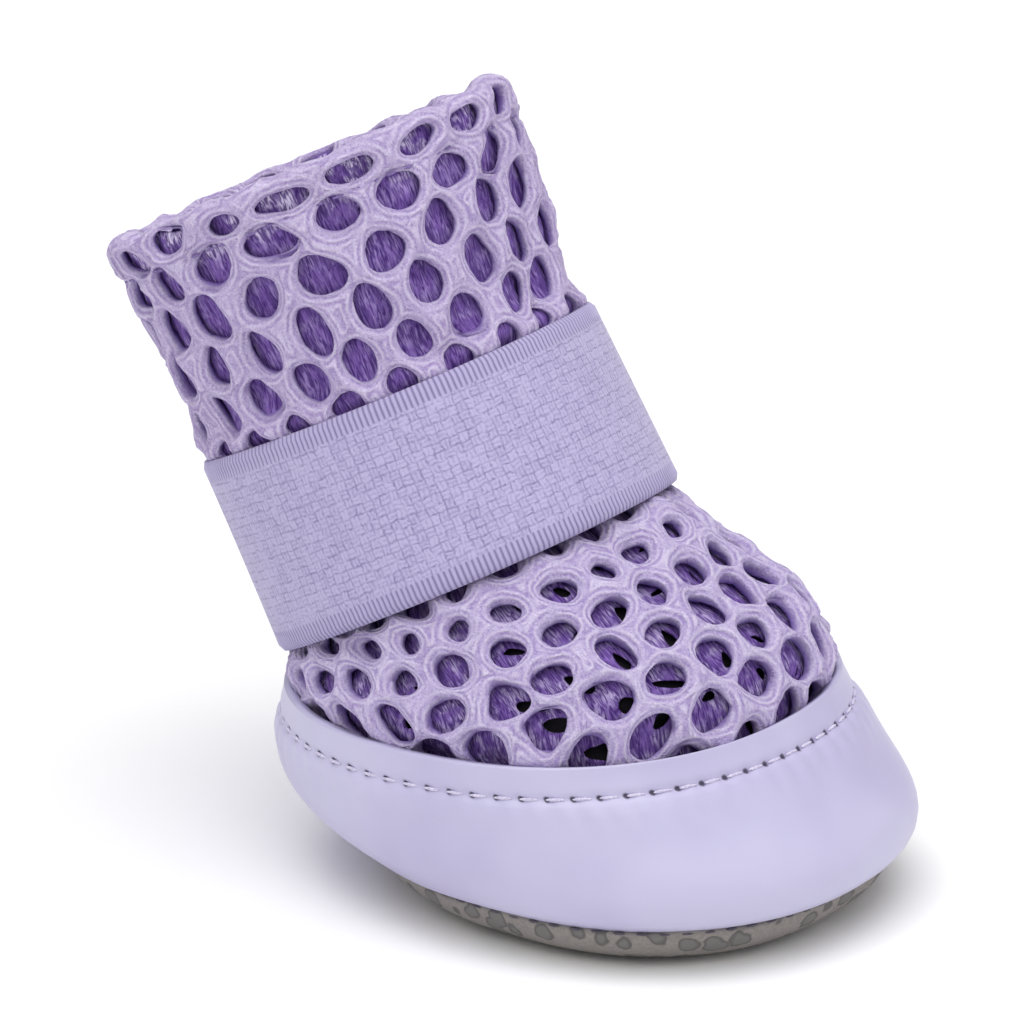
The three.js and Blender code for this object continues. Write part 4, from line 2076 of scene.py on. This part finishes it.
@dataclass
class Studio:
    """The pale floor, the soft lights and the camera at the photo's viewing angle.

    Angles are in degrees. The camera's distance and the width that it views are in metres,
    and the place that it aims at, its shift, the sensor and the floor in millimetres.
    """

    azimuth: float = 33.97
    elevation: float = 20.2
    distance: float = 1.0
    view: float = 0.1
    aim: tuple[float, float, float] = (-5.0, 0.0, 35.0)
    shift: tuple[float, float] = (-7.6, 2.2)
    sensor: float = 36.0
    sky: float = 0.43
    floor_radius: float = 4000.0

    def light_sky(self) -> None:
        """Sets an even white sky."""
        scene = bpy.context.scene
        scene.view_settings.view_transform = "Standard"
        world = bpy.data.worlds.new("studio")
        world.use_nodes = True
        background = world.node_tree.nodes["Background"]
        background.inputs["Color"].default_value = to_linear("FFFFFF")
        background.inputs["Strength"].default_value = self.sky
        scene.world = world

    def lay_floor(self) -> None:
        """Lays the pale matt floor."""
        form = bmesh.new()
        bmesh.ops.create_circle(form, cap_ends=True, segments=96, radius=self.floor_radius)
        mesh = finished(form, "studio_floor", [])
        write_points(mesh, read_points(mesh))
        floor = bpy.data.objects.new("studio_floor", mesh)
        bpy.context.scene.collection.objects.link(floor)
        ground = PlainCloth("matt_white_floor", "FBFBFB", "F9F9F9", 40, 0.9, 0.001)
        mesh.materials.append(ground.material())

    def build(self) -> None:
        """Builds the studio."""
        self.light_sky()
        self.lay_floor()
        scene = bpy.context.scene
        azimuth, elevation = math.radians(self.azimuth), math.radians(self.elevation)
        towards = Vector(
            (
                math.sin(azimuth) * math.cos(elevation),
                -math.cos(azimuth) * math.cos(elevation),
                math.sin(elevation),
            )
        )
        right = Vector((math.cos(azimuth), math.sin(azimuth), 0))
        up = towards.cross(right)
        aim = (Vector(self.aim) + right * self.shift[0] + up * self.shift[1]) * MM
        camera = bpy.data.cameras.new("camera")
        camera.sensor_width = self.sensor
        camera.lens = self.sensor * self.distance / self.view
        camera.clip_end = 20
        holder = bpy.data.objects.new("camera", camera)
        holder.location = aim + towards * self.distance
        holder.rotation_euler = (-towards).to_track_quat("-Z", "Y").to_euler()
        scene.collection.objects.link(holder)
        scene.camera = holder
        self.light("key", -right * 0.1 + towards * 0.5 + Vector((0, 0, 0.85)), 1.3, 9.2)
        self.light("left", -right * 0.9 + towards * 0.3 + Vector((0, 0, 0.35)), 0.6, 0.6)
        self.light("right", right * 0.9 + towards * 0.2 + Vector((0, 0, 0.33)), 0.6, 1.3)
        self.light("top", -towards * 0.2 + Vector((0, 0, 1.1)), 1.2, 4.8)

    def light(self, name: str, place: Vector, size: float, power: float) -> None:
        """Hangs a square soft light that points at the boot.

        Args:
            name: Its name.
            place: Where it hangs, in metres.
            size: Its side, in metres.
            power: Its power in watts.
        """
        lamp = bpy.data.lights.new(name, "AREA")
        lamp.size = size
        lamp.energy = power
        holder = bpy.data.objects.new(name, lamp)
        holder.location = place
        holder.rotation_euler = (Vector((0, 0, 0.03)) - place).to_track_quat("-Z", "Y").to_euler()
        bpy.context.scene.collection.objects.link(holder)


def main() -> None:
    """Builds the boot and the studio."""
    logging.basicConfig(level=logging.INFO)
    last = Last()
    Studio().build()
    Upper(last).build()
    Rand(last).build()
    Sole(last).build()
    Strap(last).build()


if __name__ == "__main__":
    main()
